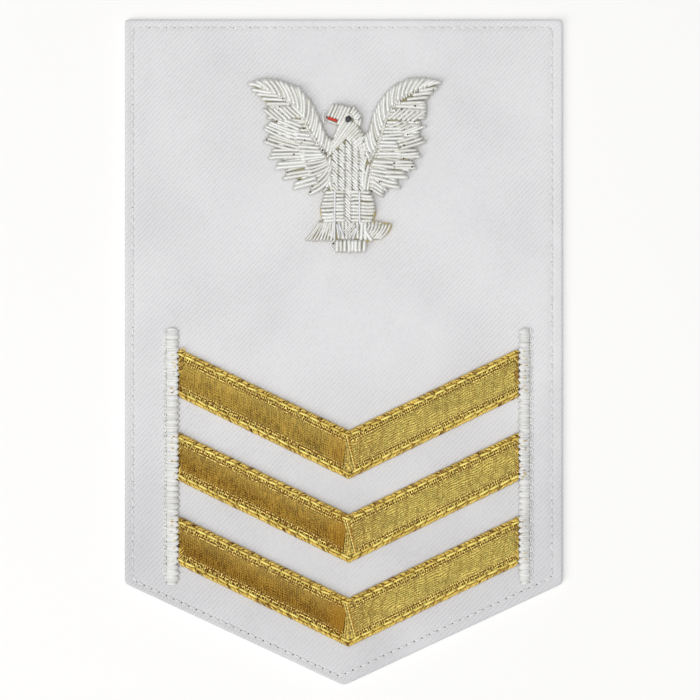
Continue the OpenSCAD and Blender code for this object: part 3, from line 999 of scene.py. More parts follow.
# %% [markdown]
# A column of satin stitch covers the cut ends of the three laces on each side. Satin stitch is a
# close zigzag of soft thread. Each thread is drawn by itself here, arched from the inner side to
# the needle holes on the outer side, so that the column has its ribs from every side, and a bed
# of lower threads fills the gaps. The needle went down in a few places only on the inner side, so
# the threads bunch there and their ends make scallops. Near the ends of a column the threads grow
# shorter. A looser chain of thread runs along the holes, in two lines of small bulges.

# %% Threads of a satin column
SATIN_PITCH = 0.36
SATIN_R = 0.24
SATIN_BED = 0.2
BUNCH = 1.45
SATIN_INNER, SATIN_SCALLOP = -0.25, 0.55
SATIN_TAPER, TAPER_RUN = 0.5, 1.2
SATIN_SPREAD = 0.8
SATIN_AT = (0.0, 0.06, 0.15, 0.35, 0.6, 0.85, 1.0)
SATIN_ON_LACE = (0.95, 1.22, 1.36, 1.34, 1.1, 0.65, -0.1)
SATIN_ON_CLOTH = (-0.1, 0.25, 0.55, 0.8, 0.8, 0.5, -0.1)
HOLE_LINES = {-1: 2.9, 1: 2.5}

SATIN_THREAD = thread_finish("satin_thread", (0.66, 0.657, 0.64), (0.81, 0.807, 0.79), Roughness=0.5,
                             Sheen_Weight=0.3)


def over_lace(y):
    """1 where the end of a lace lies under the column, 0 over bare cloth."""
    covered = 0.0
    for point_y in CHEVRON_POINTS:
        foot = point_y + arm_reach * slope
        head = foot + LACE_WIDTH * stretch
        covered += (math.tanh((y - foot) / 0.3) - math.tanh((y - head) / 0.3)) / 2
    return covered


def satin_threads(side, inner, low, high):
    """The arched threads of one column, each with a lower one beside it for the bed."""
    threads = Bundle()
    t = np.linspace(0, 1, 13)
    for y in np.arange(low[1] + SATIN_R, high[1] - SATIN_R, SATIN_PITCH):
        centre = (math.floor(y / BUNCH) + 0.5) * BUNCH
        off = (y - centre) / (BUNCH / 2)
        start = SATIN_INNER + SATIN_SCALLOP * off * off + chance.uniform(-0.12, 0.12)
        taper = SATIN_TAPER * max(0.0, 1 - min(y - low[1], high[1] - y) / TAPER_RUN)
        end = HOLE_LINES[side] - 0.1 - taper + chance.uniform(-0.25, 0.2)
        reach = between(start + taper, end, t)
        outer_y = y + chance.uniform(-0.09, 0.09)
        sway = outer_y + (centre + SATIN_SPREAD * (y - centre) - outer_y) * (1 - t) ** 3
        on_cloth, on_band = (np.interp(t, SATIN_AT, level) for level in (SATIN_ON_CLOTH, SATIN_ON_LACE))
        arch = between(on_cloth, on_band, over_lace(y))
        path = np.c_[inner + side * reach, sway, low[2] + arch + chance.uniform(-0.06, 0.06)]
        threads.add_tube(sweep(path, SATIN_R * chance.uniform(0.9, 1.1), 8, 0.9), chance.uniform(0.2, 1.0))
        bed = path + [0, SATIN_PITCH / 2, -SATIN_BED]
        threads.add_tube(sweep(bed[1:-1], SATIN_R, 8, 0.9), 0.5)
    return threads


column_low, column_high = extent("end_binding_left")
print("threads in a column:", int((column_high[1] - column_low[1]) / SATIN_PITCH))

# %% The chain, and both columns
HOLE_STEP = 1.8
CHAIN_R = 0.16
CHAIN_BULGES = (0.15, 0.55)
CHAIN_MARGIN = 0.4
CHAIN_STEPS = ((0.12, 0.0, 0.0), (0.65, 1.0, 0.1), (1.2, 1.0, 0.1), (1.7, 0.0, 0.0))


def column_chain(side, inner, low, high):
    """The needle holes beside one column, and the bulges of thread between them."""
    chain, dots = Bundle(), Bundle()
    at = inner + side * HOLE_LINES[side]
    for y in np.arange(low[1] + CHAIN_MARGIN, high[1] - CHAIN_MARGIN, HOLE_STEP):
        # Painted shade: a dark cup for each needle hole beside the column
        dimple(dots, (at, y), cloth_top + 0.04, HOLE_R * chance.uniform(0.3, 1.0))
        for bulge in CHAIN_BULGES:
            path = [(at + side * bulge * out, y + along, cloth_top + up) for along, out, up in CHAIN_STEPS]
            chain.add_tube(sweep(smooth(path, 8), CHAIN_R, 6), chance.uniform(0.2, 1.0))
    return chain, dots


def satin_column(side, node):
    """A column, its chain and its holes, from the inner side of the solid that it stands for."""
    low, high = extent(node)
    place = (side, high[0] if side < 0 else low[0], low, high)
    threads = satin_threads(*place)
    chain, dots = column_chain(*place)
    name = "left" if side < 0 else "right"
    add_bundle("satin_column_" + name, threads, SATIN_THREAD, [node])
    add_bundle("column_chain_" + name, chain, SATIN_THREAD)
    add_bundle("column_holes_" + name, dots, HOLE)


satin_column(-1, "end_binding_left")
satin_column(1, "end_binding_right")

# %% [markdown]
# Where the lace is cut, a few of its gilt threads come loose. Some lie slantwise over the end of
# the band, and short bits of others show between the stitches of the column. One stands up as a
# small loop at the top left.

# %% Loose gilt threads
FRAY_COUNT = 16
FRAY_R = 0.13
FRAY_LONG = (0.8, 2.0)
FRAY_TILT = (35, 60)
FRAY_RISE = 0.12
SPECK_COUNT = 14
SPECK_R = 0.1
SPECK_LONG = (0.25, 0.7)
CURL_R = 0.55
CURL_TURN = (-0.5, 4.9)

frays = Bundle()
for point_y in CHEVRON_POINTS:
    for arm in (-1, 1):
        for _ in range(FRAY_COUNT):
            across = chance.uniform(0.6, LACE_WIDTH - 1.2)
            long = chance.uniform(*FRAY_LONG)
            start = on_lace(point_y, arm * (arm_reach - 0.05), across, 1.02)
            tilt = math.radians(chance.uniform(*FRAY_TILT))
            end = start + [-arm * long * math.cos(tilt), long * math.sin(tilt), FRAY_RISE / 2]
            path = [start, between(start, end, 0.5) + [0, 0, FRAY_RISE], end - [0, 0, FRAY_RISE]]
            frays.add_tube(sweep(smooth(path, 7), FRAY_R, 6), chance.uniform(0.0, 1.0))
        for _ in range(SPECK_COUNT):
            across = chance.uniform(0, LACE_WIDTH)
            reach = arm_reach + chance.uniform(0.1, 1.5)
            start = on_lace(point_y, arm * reach, across, 1.5)
            end = start + [arm * chance.uniform(*SPECK_LONG), chance.uniform(-0.1, 0.1), -0.05]
            path = [start, between(start, end, 0.5), end]
            frays.add_tube(sweep(path, SPECK_R, 6), chance.uniform(0.3, 1.0))
curl_at = on_lace(CHEVRON_POINTS[-1], -arm_reach + 1.1, LACE_WIDTH + 0.2, 1.15)
turn = np.linspace(*CURL_TURN, 20)
curl = curl_at + CURL_R * np.c_[np.cos(turn), 0.7 * np.sin(turn), 0 * turn]
frays.add_tube(sweep(curl, FRAY_R, 6), 0.9)
add_bundle("loose_gilt_threads", frays, GILT_LOOP)

# %% [markdown]
# The eagle is padded with yellow felt, cut a little smaller than the embroidery. It shows only as
# a line between the wires, where its colour is painted a dull olive as shade, and as a bright
# yellow edge at the outer corners of the tail. One number at each point of its mesh says where it
# lies open, and the finish is bright only there.
# The outline is drawn on the grid that the whole eagle uses: squares of 0.24 mm, measured from the
# middle of the breast.

# %% Where the eagle lies, and the line of its felt
EAGLE_AT = (1.0, 47.9)
GRID = 0.24
FELT_LINE = (
    (-20, 37), (-15, 45), (-4, 44), (1, 45), (7, 44), (11, 40), (12, 33), (10.5, 26), (12, 19),
    (15, 12), (17, 11), (20.5, 20), (25.5, 27), (28.5, 39), (33.5, 50), (38.5, 56), (43, 60), (49, 64),
    (55, 67), (67, 70), (84, 70), (89, 68.5), (83, 62), (73, 51), (67, 46), (73, 41.5), (68, 35),
    (74, 28), (66, 20), (71, 13), (62, 5), (67, -3.5), (59, -8), (63, -16), (52, -18), (55, -25.5),
    (45, -28), (48, -34.5), (33, -33), (32, -41), (20, -34), (18.5, -39), (22, -44), (25.5, -52),
    (28.8, -58.5), (27.6, -63.5), (25, -68), (28, -69.3), (43, -70.2), (45, -72.5), (41.5, -79),
    (34, -86), (22, -87.5), (18, -90), (17.5, -96), (-11, -96), (-12.5, -89), (-17, -85.5),
    (-38, -84.5), (-39, -82.5), (-29.5, -70.2), (-23.5, -69), (-26, -65.5), (-28.3, -60), (-28, -56),
    (-26, -50), (-23, -43), (-20, -38.5), (-23, -33), (-34, -39), (-31, -34), (-37, -33), (-49, -34),
    (-44, -28), (-58, -24), (-54, -17), (-64, -14.5), (-58, -8), (-71, -3), (-61, 4), (-76, 11),
    (-68, 16), (-78, 25), (-72, 32), (-80, 40), (-68, 44), (-72, 49), (-82, 50), (-86, 55), (-90, 60),
    (-94, 65), (-93, 68), (-88, 69.5), (-79, 69.5), (-70, 68), (-63, 65), (-57, 62), (-51, 58),
    (-46, 51), (-42, 44), (-38, 37), (-35, 28), (-31, 20), (-28, 13), (-24, 7), (-18, 3), (-14, 9),
    (-11, 17), (-8.5, 27), (-18, 30), (-20.5, 32.5))


def spot(point):
    """A point of the eagle's drawing as millimetres on the badge."""
    return np.array(EAGLE_AT) + np.array(point, float) * GRID


felt_line = np.array([spot(p) for p in FELT_LINE])

# %% Felt finish
FELT_FUZZ = 0.14
FELT_DEPTH = 0.12
# Painted shade: under the wires the felt is painted a dull olive
FELT_SHADED = (0.42, 0.37, 0.19)
FELT_GOLD = (0.62, 0.48, 0.13)

FELT = Finish("yellow_felt", Roughness=0.95, Sheen_Weight=0.3)
fuzz = FELT.noise(FELT_FUZZ, 3.0)
felt_shaded_unless_open = FELT.mix(FELT_SHADED, FELT_GOLD, FELT.attribute("open"))
FELT.feed(Base_Color=FELT.mix(FELT_SHADED, felt_shaded_unless_open, (fuzz + FELT.noise(1.1) * 0.4).step(0.3, 0.75)))
FELT.relief(fuzz, FELT_DEPTH)
print("nodes in the felt finish:", len(FELT.tree.nodes))

# %% The felt's mesh
FELT_SPACING = 0.3
FELT_ROUNDS = 6
FELT_RINGS = ((0.0, -0.02), (0.0, 0.5), (-0.05, 0.8), (-0.15, 0.96))
FELT_STEP = 0.55
FELT_OPEN = -56.0
OPEN_RIGHT, OPEN_LEFT, OPEN_FOOT = 17, -20, -72
felt_seat, felt_top = extent("felt_padding")[0][2], extent("felt_padding")[1][2]


def resample(loop, spacing):
    """Points at even spacing along a closed line, a little rounded."""
    parts = []
    for a, b in zip(loop, np.roll(loop, -1, axis=0)):
        count = max(1, round(np.linalg.norm(b - a) / spacing))
        parts.append(between(a, b, np.arange(count)[:, None] / count))
    return rounded(np.concatenate(parts), FELT_ROUNDS)


def felt_mesh():
    """A flat closed shape: rings up its side, then open triangles over its top and its back."""
    loop = resample(felt_line[::-1], FELT_SPACING)
    way = np.roll(loop, -1, axis=0) - np.roll(loop, 1, axis=0)
    outward = np.stack([way[:, 1], -way[:, 0]], 1) / np.linalg.norm(way, axis=1)[:, None]
    count = len(loop)
    points = [np.c_[loop + outward * out, np.full(count, felt_seat + up)] for out, up in FELT_RINGS]
    points = np.concatenate(points)
    spots = np.arange(len(points)).reshape(-1, count)
    faces = wall_faces(spots, flip=True).tolist()
    for row, up, order in ((spots[-1], FELT_RINGS[-1][1], 1), (spots[0], FELT_RINGS[0][1], -1)):
        inner, triangles = fill_inside(points[row][:, :2], FELT_STEP)
        places = np.r_[row, len(points) + np.arange(len(inner))]
        points = np.r_[points, np.c_[inner, np.full(len(inner), felt_seat + up)]]
        faces += [places[face[::order]].tolist() for face in triangles]
    return points, faces


def lies_open(points):
    """1 at the two outer corners of the tail, where the felt shows, and 0 under the wires, where it gets
    painted shade.
    """
    x, y = ((points[:, :2] - EAGLE_AT) / GRID).T
    return ((y < FELT_OPEN) & ((x > OPEN_RIGHT) | (x < OPEN_LEFT) & (y > OPEN_FOOT))).astype(float)


points, faces = felt_mesh()
felt_open = {"open": lies_open(points)}
felt = add_piece("yellow_felt", points, faces, FELT, ["felt_padding"], felt_open)

# %% [markdown]
# The eagle is drawn in purl: fine silver wire wound into a long spring, cut into short lengths and
# sewn down like beads. So every purl is a tube with a screw-like ridge. Its two ends dip into the
# felt where the needle goes through, and its colour is painted darker there as shade. Where a purl
# reaches past the felt, its far end droops towards the cloth. No two are cut quite alike: each is
# turned, lifted and shaded a little by chance.

# %% Purl
PURL_R = 0.38
COIL_PITCH = 0.27
COIL_DEPTH = 0.03
COIL_RINGS = 4
PURL_SIDES = 8
PURL_DIP = 0.38
PURL_DIP_RUN = 0.6
DROOP = 0.4
DROOP_RUN = 1.1
END_SHADE = 0.25
STRAY, BEND_STRAY, LEVEL_STRAY = 0.06, 0.012, (-0.04, 0.06)

# The dark colour serves the painted shade at the purls' ends, warmed to the tint of light from the felt
SILVER = thread_finish("silver_purl", (0.44, 0.41, 0.27), (0.82, 0.82, 0.80), Metallic=0.38, Roughness=0.47)


def purl(bundle, start, end, bow=0.0, radius=PURL_R, lift=0.0, dip=PURL_DIP, stray=STRAY, droop=0.0):
    """One coil of wire between two points of the plan. Its far end may droop towards the cloth."""
    start = np.array(start[:2]) + [chance.gauss(0, stray), chance.gauss(0, stray)]
    end = np.array(end[:2]) + [chance.gauss(0, stray), chance.gauss(0, stray)]
    run = end - start
    length = np.linalg.norm(run)
    count = max(6, int(length / COIL_PITCH * COIL_RINGS) + 1)
    t = np.linspace(0, 1, count)[:, None]
    bend = bow + chance.uniform(-BEND_STRAY, BEND_STRAY)
    plan = between(start, end, t) + np.array([-run[1], run[0]]) * bend * 4 * t * (1 - t)
    near_end = np.minimum(t, 1 - t) * length / PURL_DIP_RUN
    sunk = np.clip(1 - near_end, 0, 1) ** 1.6
    level = felt_top + radius + lift + chance.uniform(*LEVEL_STRAY) - dip * sunk
    level = level - droop * np.clip(1 - (1 - t) * length / DROOP_RUN, 0, 1) ** 1.5
    thin = radius * (1 - 0.3 * np.clip(1 - 3 * near_end[:, 0], 0, 1))
    # Painted shade: each purl is darker towards its ends, where they dip into the felt
    shade = chance.uniform(0.65, 1.0) * (1 - (1 - END_SHADE) * sunk[:, 0] ** 1.5)
    bundle.add_tube(sweep(np.c_[plan, level], thin, PURL_SIDES, 1.0, COIL_DEPTH, COIL_PITCH), shade)


print("rings in a purl of 4 mm:", int(4 / COIL_PITCH * COIL_RINGS) + 1)

# %% [markdown]
# Most of the eagle is fans: rows of purls side by side between an outer and an inner edge. A fan
# is written as its four corners, and where it needs them the bow, lift and pitch of its purls; it
# works out from its width how many it has room for. A lower row lies under the feathers, so that
# no gap shows the cloth. The two wings were sewn by hand, so they aren't mirror images and each
# has a drawing of its own.

# %% Fans of purls
FAN_PITCH = 0.83
FAN_FILL = 0.53
TIP_REACH = 0.3
CURVE_STEPS = 200


def fan(bundle, outer_a, outer_b, inner_a, inner_b, bow=0.0, lift=0.0, pitch=FAN_PITCH, droop=0.0):
    """Purls side by side, as many as the fan has room for."""
    a, b, c, d = spot(outer_a), spot(outer_b), spot(inner_a), spot(inner_b)
    run = (a + b - c - d) / np.linalg.norm(a + b - c - d)
    wide = sum(abs(run[0] * w[1] - run[1] * w[0]) for w in (b - a, d - c)) / 2
    count = max(1, round(wide / pitch))
    for i in range(count):
        u = (i + 0.5) / count
        root, tip = between(c, d, u), between(a, b, u)
        tip = tip + TIP_REACH * (tip - root) / np.linalg.norm(tip - root)
        purl(bundle, root, tip, bow, FAN_FILL * wide / count, lift + 0.03 * (i % 2), droop=droop)


def curve(points, t):
    """A point on a smooth curve through the points of a line, for t from 0 to 1."""
    return smooth(points, CURVE_STEPS + 1)[round(min(t, 1) * CURVE_STEPS)]


print("one square of the drawing in mm:", GRID)

# %% The left wing's drawing
# Written with x to the left, so that both wings read alike. A row: outer, inner, bow, lift
LEFT_FEATHERS = (
    ((97, 65), (78, 46.8), (78, 61.5), (54, 46.5)), ((85.5, 42.5), (53, 47), (71, 30), (42, 36)),
    ((76, 31), (84.5, 23), (46, 21), (52, 8.5), -0.02),
    ((76.5, 18.5), (84, 9.5), (46, 9), (50, 0.5), -0.02), ((73, 3.5), (78.5, -7), (42, 3.5), (42, -6)),
    ((68, -9), (72, -18), (42, -7), (40, -14.5)), ((60, -19.5), (65, -28), (36, -15.5), (36, -23)),
    ((51, -28.5), (54, -38), (32, -23), (30, -31.5)), ((33, -27), (39, -43), (18, -9), (17, -28), -0.1))
LEFT_COVERTS = (
    ((72, 31), (60, 32.5), (50, 21), (44, 27), 0, 0.1), ((54, 21), (50, 9), (39, 19), (31, 7), 0, 0.1),
    ((49, 8), (45, -9), (30, 6), (21, -6), 0, 0.1),
    ((44, -9), (38, -25), (21, -6), (16, -13), -0.06, 0.1))
LEFT_UNDER = (
    ((93, 69), (88, 61), (80, 67), (74, 60)), ((78, 49), (80, 34), (50, 47), (42, 30)),
    ((72, 31), (70, 6), (44, 32), (28, 6)), ((67, 4), (60, -20), (28, 6), (18, -9)),
    ((56, -20), (22, -39), (18, -8), (13, -28)))
LEFT_TIPS = (
    (98.5, 68.5), (91, 71.2), (83.5, 72), (77.5, 72), (72.5, 71.5), (67.5, 70.5), (62.5, 68.5),
    (57, 66.5), (50, 64.5), (45, 59.5), (40, 53), (35.5, 45.5), (31, 37.5), (28, 29), (25, 22),
    (21.5, 16), (18.5, 13), (16, 11.5))
LEFT_SPINE = (
    (91, 67.5), (80, 62.5), (71, 57), (64.5, 54), (58, 50), (52, 45), (47.3, 39), (44.5, 32),
    (40.5, 25.5), (36.5, 18), (32, 11.5), (26, 4), (19, -4))
# Where along the spine the tips' roots lie: the share of the tips, then the share of the spine
LEFT_ROOTS = ((0, 0.3, 0.47, 0.59, 0.76, 0.88, 1), (0.05, 0.35, 0.52, 0.63, 0.86, 0.94, 1))

print("rows of feathers in the left wing:", len(LEFT_FEATHERS))

# %% Building a wing
FRONT_BOW = 0.06
FRONT_R = 0.49
FRONT_LIFT = 0.1
FRONT_FROM, FRONT_TO = 1.5, 1.0
SPINE_R = 0.29
SPINE_BITS = 42
SPINE_REACH = 1.9
SPINE_SLANT = 0.5
SPINE_LIFT = 0.2
UNDER_LIFT = -0.42


def turned(rows):
    """The same rows with x to the right."""
    return [tuple((-p[0], p[1]) if isinstance(p, tuple) else p for p in row) for row in rows]


def wing(side, feathers, coverts, under, tips, roots, spine):
    """Fans of feathers, short bits that hide their roots along the spine, and the front row."""
    bundle = Bundle()
    flip = np.array([side, 1])
    for rows, sink, droop in ((under, UNDER_LIFT, DROOP), (feathers, 0, DROOP), (coverts, 0, 0)):
        for row in turned(rows) if side < 0 else rows:
            bow, lift = (*row[4:], 0, 0)[:2]
            fan(bundle, *row[:4], side * bow, lift + sink, droop=droop)
    for i in range(SPINE_BITS):
        middle = curve(spine, (i + 0.5) / SPINE_BITS)
        way = curve(spine, (i + 1) / SPINE_BITS) - curve(spine, i / SPINE_BITS)
        way = way / np.linalg.norm(way)
        half = SPINE_REACH * np.array([SPINE_SLANT * way[0] - way[1], way[0] + SPINE_SLANT * way[1]])
        ends = spot(flip * (middle - half)), spot(flip * (middle + half))
        purl(bundle, *ends, radius=SPINE_R, lift=SPINE_LIFT, dip=0.3, stray=0.03)
    row = []
    for i, tip in enumerate(tips):
        root = curve(spine, np.interp(i / (len(tips) - 1), *roots))
        way = (tip - root) / np.linalg.norm(tip - root)
        row.append((spot(flip * (root + FRONT_FROM * way)), spot(flip * (tip + FRONT_TO * way))))
    gaps = [[between(*pair, 0.5) for pair in zip(a, b)] for a, b in zip(row, row[1:])]
    for ends, lift in ((gaps, UNDER_LIFT), (row, FRONT_LIFT)):
        for root, tip in ends:
            purl(bundle, root, tip, side * FRONT_BOW, FRONT_R, lift, droop=DROOP)
    return bundle


left = wing(-1, LEFT_FEATHERS, LEFT_COVERTS, LEFT_UNDER, LEFT_TIPS, LEFT_ROOTS, LEFT_SPINE)
add_bundle("purls_wing_left", left, SILVER, ["wing_left"])

# %% The right wing
RIGHT_FEATHERS = (
    ((90, 67), (73, 47.5), (74, 63), (50, 47)), ((50, 44.5), (79.5, 41.5), (38, 34), (66, 31)),
    ((52, 31.5), (79, 25.5), (38, 25), (58, 17)), ((69, 18.5), (78, 10), (48, 12), (54, 3), -0.02),
    ((67, 4), (73.5, -5.5), (46, 2.5), (49, -7)), ((63, -8), (68.5, -17.5), (43, -8), (46, -17)),
    ((54.5, -18.5), (60.5, -27), (36, -17), (37, -26)),
    ((47, -28), (53, -36.5), (30, -23), (34, -33), -0.04),
    ((36.5, -32), (34, -44.5), (24, -21), (21.5, -38)))
RIGHT_COVERTS = (
    ((52, 26), (56, 13), (37, 25), (33, 12), 0, 0.1), ((47, 12), (54, -6), (32, 12), (28, -6), 0, 0.1),
    ((46, -7.5), (45, -17), (26, -7), (23, -14), 0, 0.1),
    ((43, -19), (38, -30), (23, -16), (21, -25), 0, 0.1))
RIGHT_UNDER = (
    ((77, 50), (76, 33), (46, 52), (37, 33)), ((72, 32), (70, 6), (38, 32), (30, 6)),
    ((68, 4), (60, -20), (30, 6), (22, -11)), ((56, -20), (33, -42), (22, -10), (18, -32)))
RIGHT_TIPS = (
    (92, 69.5), (88, 71), (83, 72.2), (76.5, 73.2), (70.5, 73), (65, 72.7), (59.5, 72), (53.5, 69),
    (47, 66), (41, 61), (36.5, 56), (31.5, 49), (27, 40.5), (24, 29.5), (22, 22.5), (18.5, 17),
    (15.5, 12))
RIGHT_ROOTS = ((0, 0.44, 0.56, 0.69, 0.81, 1), (0, 0.27, 0.4, 0.59, 0.83, 0.98))
RIGHT_SPINE = (
    (78, 66), (66, 61), (54, 54), (44, 45), (39, 36), (36, 27), (33.5, 18), (30, 9), (26, 0), (21, -9))

right = wing(1, RIGHT_FEATHERS, RIGHT_COVERTS, RIGHT_UNDER, RIGHT_TIPS, RIGHT_ROOTS, RIGHT_SPINE)
add_bundle("purls_wing_right", right, SILVER, ["wing_right"])

# %% [markdown]
# The head is a few long purls that run down into the neck, with a short fan for the brow and one
# for the crown. Each long one is placed by its two ends, because they cross and no rule gives
# them. The tongue is one thin red purl, and a bare wire bends round the hook of the beak.

# %% Head and neck
BROW = ((-16.5, 47.5), (-2.8, 46), (-21.4, 36.5), (-9.5, 32.5))
FACE = (
    ((-1, 46), (-10, 28)), ((2, 45.5), (-11.5, 21)), ((1.5, 40), (-13.5, 15)), ((-1, 31), (-15, 9)),
    ((3, 31.5), (-16.5, 4)), ((6.5, 30.5), (-15.5, 1)), ((9.5, 29), (-12.5, 4.5)),
    ((10.5, 26), (0, 15)))
CROWN = ((5, 46.3), (13.5, 35), (1.5, 40), (9, 30.5))
NAPE = (
    ((1.2, 39.2), (5.5, 34.5)), ((13.4, 34.5), (11, 26)), ((7, 32), (10.5, 28)),
    ((10.5, 33), (4.8, 35.5)), ((11.5, 30), (5, 32.5)))
NECK_ROWS = (((10.5, 23.5), (15, 11), (1.5, 15), (8, 4)), ((18, 12), (20.5, 1), (10, 7), (14, -4)))
NECK_BED = ((12, 24), (20.5, 3), (4, 18), (12, -3))
LOWER_BEAK = ((-20.5, 32), (-10.5, 28))
TONGUE = ((-21.6, 35.3), (-9.9, 31.4))
TONGUE_R = 0.29
FACE_R, NAPE_R, BEAK_R, HOOK_R = 0.46, 0.4, 0.3, 0.2
HOOK_POINTS = 30
BEAK_HOOK = ((-21.8, 40.5), (-23.8, 40.8), (-24.8, 36), (-24, 30.5), (-22, 30))


def bent_wire(bundle, points, radius, level):
    """A thin wire laid along a curve of the drawing."""
    path = np.c_[[spot(p) for p in smooth(points, HOOK_POINTS)], np.full(HOOK_POINTS, level)]
    bundle.add_tube(sweep(path, radius, 8, 1.0, 0.02, COIL_PITCH), 0.85)


head, neck, tongue = Bundle(), Bundle(), Bundle()
fan(head, *BROW, lift=0.1)
fan(head, *CROWN, lift=0.05)
for top, foot in FACE:
    purl(head, spot(foot), spot(top), radius=FACE_R, lift=0.1, stray=0.05)
for top, foot in NAPE:
    purl(head, spot(foot), spot(top), bow=0.05, radius=NAPE_R)
purl(head, *map(spot, LOWER_BEAK), bow=0.02, radius=BEAK_R, stray=0.02)
bent_wire(head, BEAK_HOOK, HOOK_R, felt_top + 0.1)
fan(neck, *NECK_BED, lift=UNDER_LIFT)
for row in NECK_ROWS:
    fan(neck, *row, lift=0.04)
purl(tongue, *map(spot, TONGUE), radius=TONGUE_R, lift=0.12, dip=0.1, stray=0.0)
RED = thread_finish("red_purl", (0.03, 0.0, 0.0), (0.80, 0.02, 0.01), Roughness=0.35)
add_bundle("purls_head", head, SILVER, ["head"])
add_bundle("purls_neck", neck, SILVER, ["neck"])
add_bundle("tongue_purl", tongue, RED, ["tongue"])

# %% [markdown]
# The breast is five ropes, each made of short slanting purls that lie into each other, which is
# how a twist of wire looks from above. The thighs are level rows on both sides of a middle rope,
# as long as a circle about their middle lets them be. A smooth white cord lies in the gap between
# the rows down each leg, and three more lie on the tail.

# %% Breast, thighs and leg cords
ROPES = ((-13, 3), (-6.2, 10.5), (0.7, 16), (7.4, 13), (14.1, 8))
ROPE_FOOT = -39.0
ROPE_WIDTH = 6.6
ROPE_PITCH = 3.35
ROPE_SLANT = 3.7
ROPE_R = 0.34
ROPE_DIP = 0.75
ROPE_ENDS = 1.5
FLANK_R = 0.42
THIGH_R = 0.455
FLANKS = (
    ((21, -12), (17, -37)), ((18.5, -4), (14.5, -34)), ((23.5, -18), (19.5, -38)),
    ((-16, -10), (-20.5, -37)), ((-18, -4), (-18.5, -33)), ((-18, -22), (-16, -38)))
THIGH_TOP, THIGH_FOOT, THIGH_ROWS = -37.6, -69.5, 9
THIGH_INNER, THIGH_GAP_IN, THIGH_GAP_OUT = 3.2, 12.2, 12.8
THIGH_MIDDLE, THIGH_HALF, THIGH_ROUND = -55.0, 27.0, 28.0
THIGH_SAG, THIGH_BOW = 0.6, -0.03
CORDS = (
    ((-13, -38), (-13.5, -88)), ((12, -38), (12, -72)), ((10.5, -72), (4.5, -87)),
    ((-9.2, -70.5), (-3.6, -86.5)), ((-11, -71), (-9, -86)))
CORD_R = 0.27

WHITE_CORD = thread_finish("white_cord", (0.58, 0.58, 0.60), (0.80, 0.80, 0.83), Roughness=0.4)


def rope(bundle, x, top, foot):
    """Short slanting purls that climb over each other from the foot of a rope to its top."""
    count = int((top - foot) / ROPE_PITCH)
    for i in range(count + 1):
        y = foot + ROPE_ENDS + (top - foot - 2 * ROPE_ENDS) * i / count
        start, end = (spot((x + s * ROPE_WIDTH / 2, y - s * ROPE_SLANT)) for s in (-1, 1))
        purl(bundle, start, end, chance.uniform(0.02, 0.08), ROPE_R, lift=0.1, dip=ROPE_DIP, stray=0.05)


breast, belly, thighs, cords = Bundle(), Bundle(), Bundle(), Bundle()
for x, top in ROPES:
    rope(breast, x, top, ROPE_FOOT)
for top, foot in FLANKS:
    purl(breast, spot(foot), spot(top), bow=0.03, radius=FLANK_R, lift=-0.1)
rope(belly, 0, THIGH_TOP, THIGH_FOOT)
for i in range(THIGH_ROWS):
    y = THIGH_TOP + (THIGH_FOOT - THIGH_TOP) * (i + 0.5) / THIGH_ROWS
    half = THIGH_HALF * math.sqrt(1 - ((y - THIGH_MIDDLE) / THIGH_ROUND) ** 2)
    for side in (-1, 1):
        gap_y = y + chance.uniform(-0.4, 0.4)
        inner = (THIGH_INNER, y), (THIGH_GAP_IN, gap_y)
        outer = (THIGH_GAP_OUT, gap_y), (half, y - THIGH_SAG)
        for ends, bow in ((inner, 0), (outer, side * THIGH_BOW)):
            purl(thighs, *(spot((side * x, at)) for x, at in ends), bow, THIGH_R, stray=0.05)
for top, foot in CORDS:
    purl(cords, spot(foot), spot(top), bow=0.004, radius=CORD_R, lift=0.28, stray=0.03)
add_bundle("purls_breast", breast, SILVER, ["breast"])
add_bundle("purls_belly", belly, SILVER, ["belly_rope"])
add_bundle("purls_thighs", thighs, SILVER, ["thighs"])
add_bundle("leg_and_tail_cords", cords, WHITE_CORD, ["leg_cords"])

# %% [markdown]
# The tail is three fans of finer purl, each over a lower row that pads it, and the claws are one
# short fan below them. They are written in one table, because only their numbers differ.

# %% Tail and claws
TAIL = {
    "tail_left": (
        ((-30, -69.5), (-12, -69.5), (-30, -80), (-13, -86), 0, UNDER_LIFT),
        ((-43, -86.5), (-15.5, -87.5), (-29, -69.3), (-14, -69), 0.03, 0, 0.56)),
    "tail_right": (
        ((12, -69.5), (34, -70), (12, -87), (29, -85), 0, UNDER_LIFT),
        ((20, -71.6), (43.0, -72.4), (13, -84), (32.0, -86.8), -0.09, 0, 0.62),
        ((19.5, -88), (27, -87.5), (15, -76), (19, -79)),
        ((12.5, -70), (19, -71), (11, -87), (19.5, -88))),
    "tail_centre": (
        ((-10.5, -69), (11, -69), (-10.5, -87), (11, -87), 0, UNDER_LIFT),
        ((4, -69.5), (10, -76), (-5.5, -78.5), (1, -87), 0, 0.3, 0.36)),
    "claws": (((-12.5, -98), (18, -98), (-12.5, -87.5), (18, -87.5), 0, 0.08, 0.92),)}
CLAW_HOOK = ((-13, -87.5), (-16.6, -90), (-16.4, -95), (-13.5, -96.5))

for node, rows in TAIL.items():
    bundle = Bundle()
    for row in rows:
        fan(bundle, *row)
    if node == "claws":
        bent_wire(bundle, CLAW_HOOK, HOOK_R, felt_top + 0.12)
    add_bundle("purls_" + node, bundle, SILVER, [node])

# %% [markdown]
# A cut purl is hollow. Where a cut end points up, the shade inside it shows as a dark dot, so a
# small dark cup of painted shade is laid there. The eye is a black bead with six flat sides. It
# isn't smoothed, because its flat sides are what make it look like cut glass.

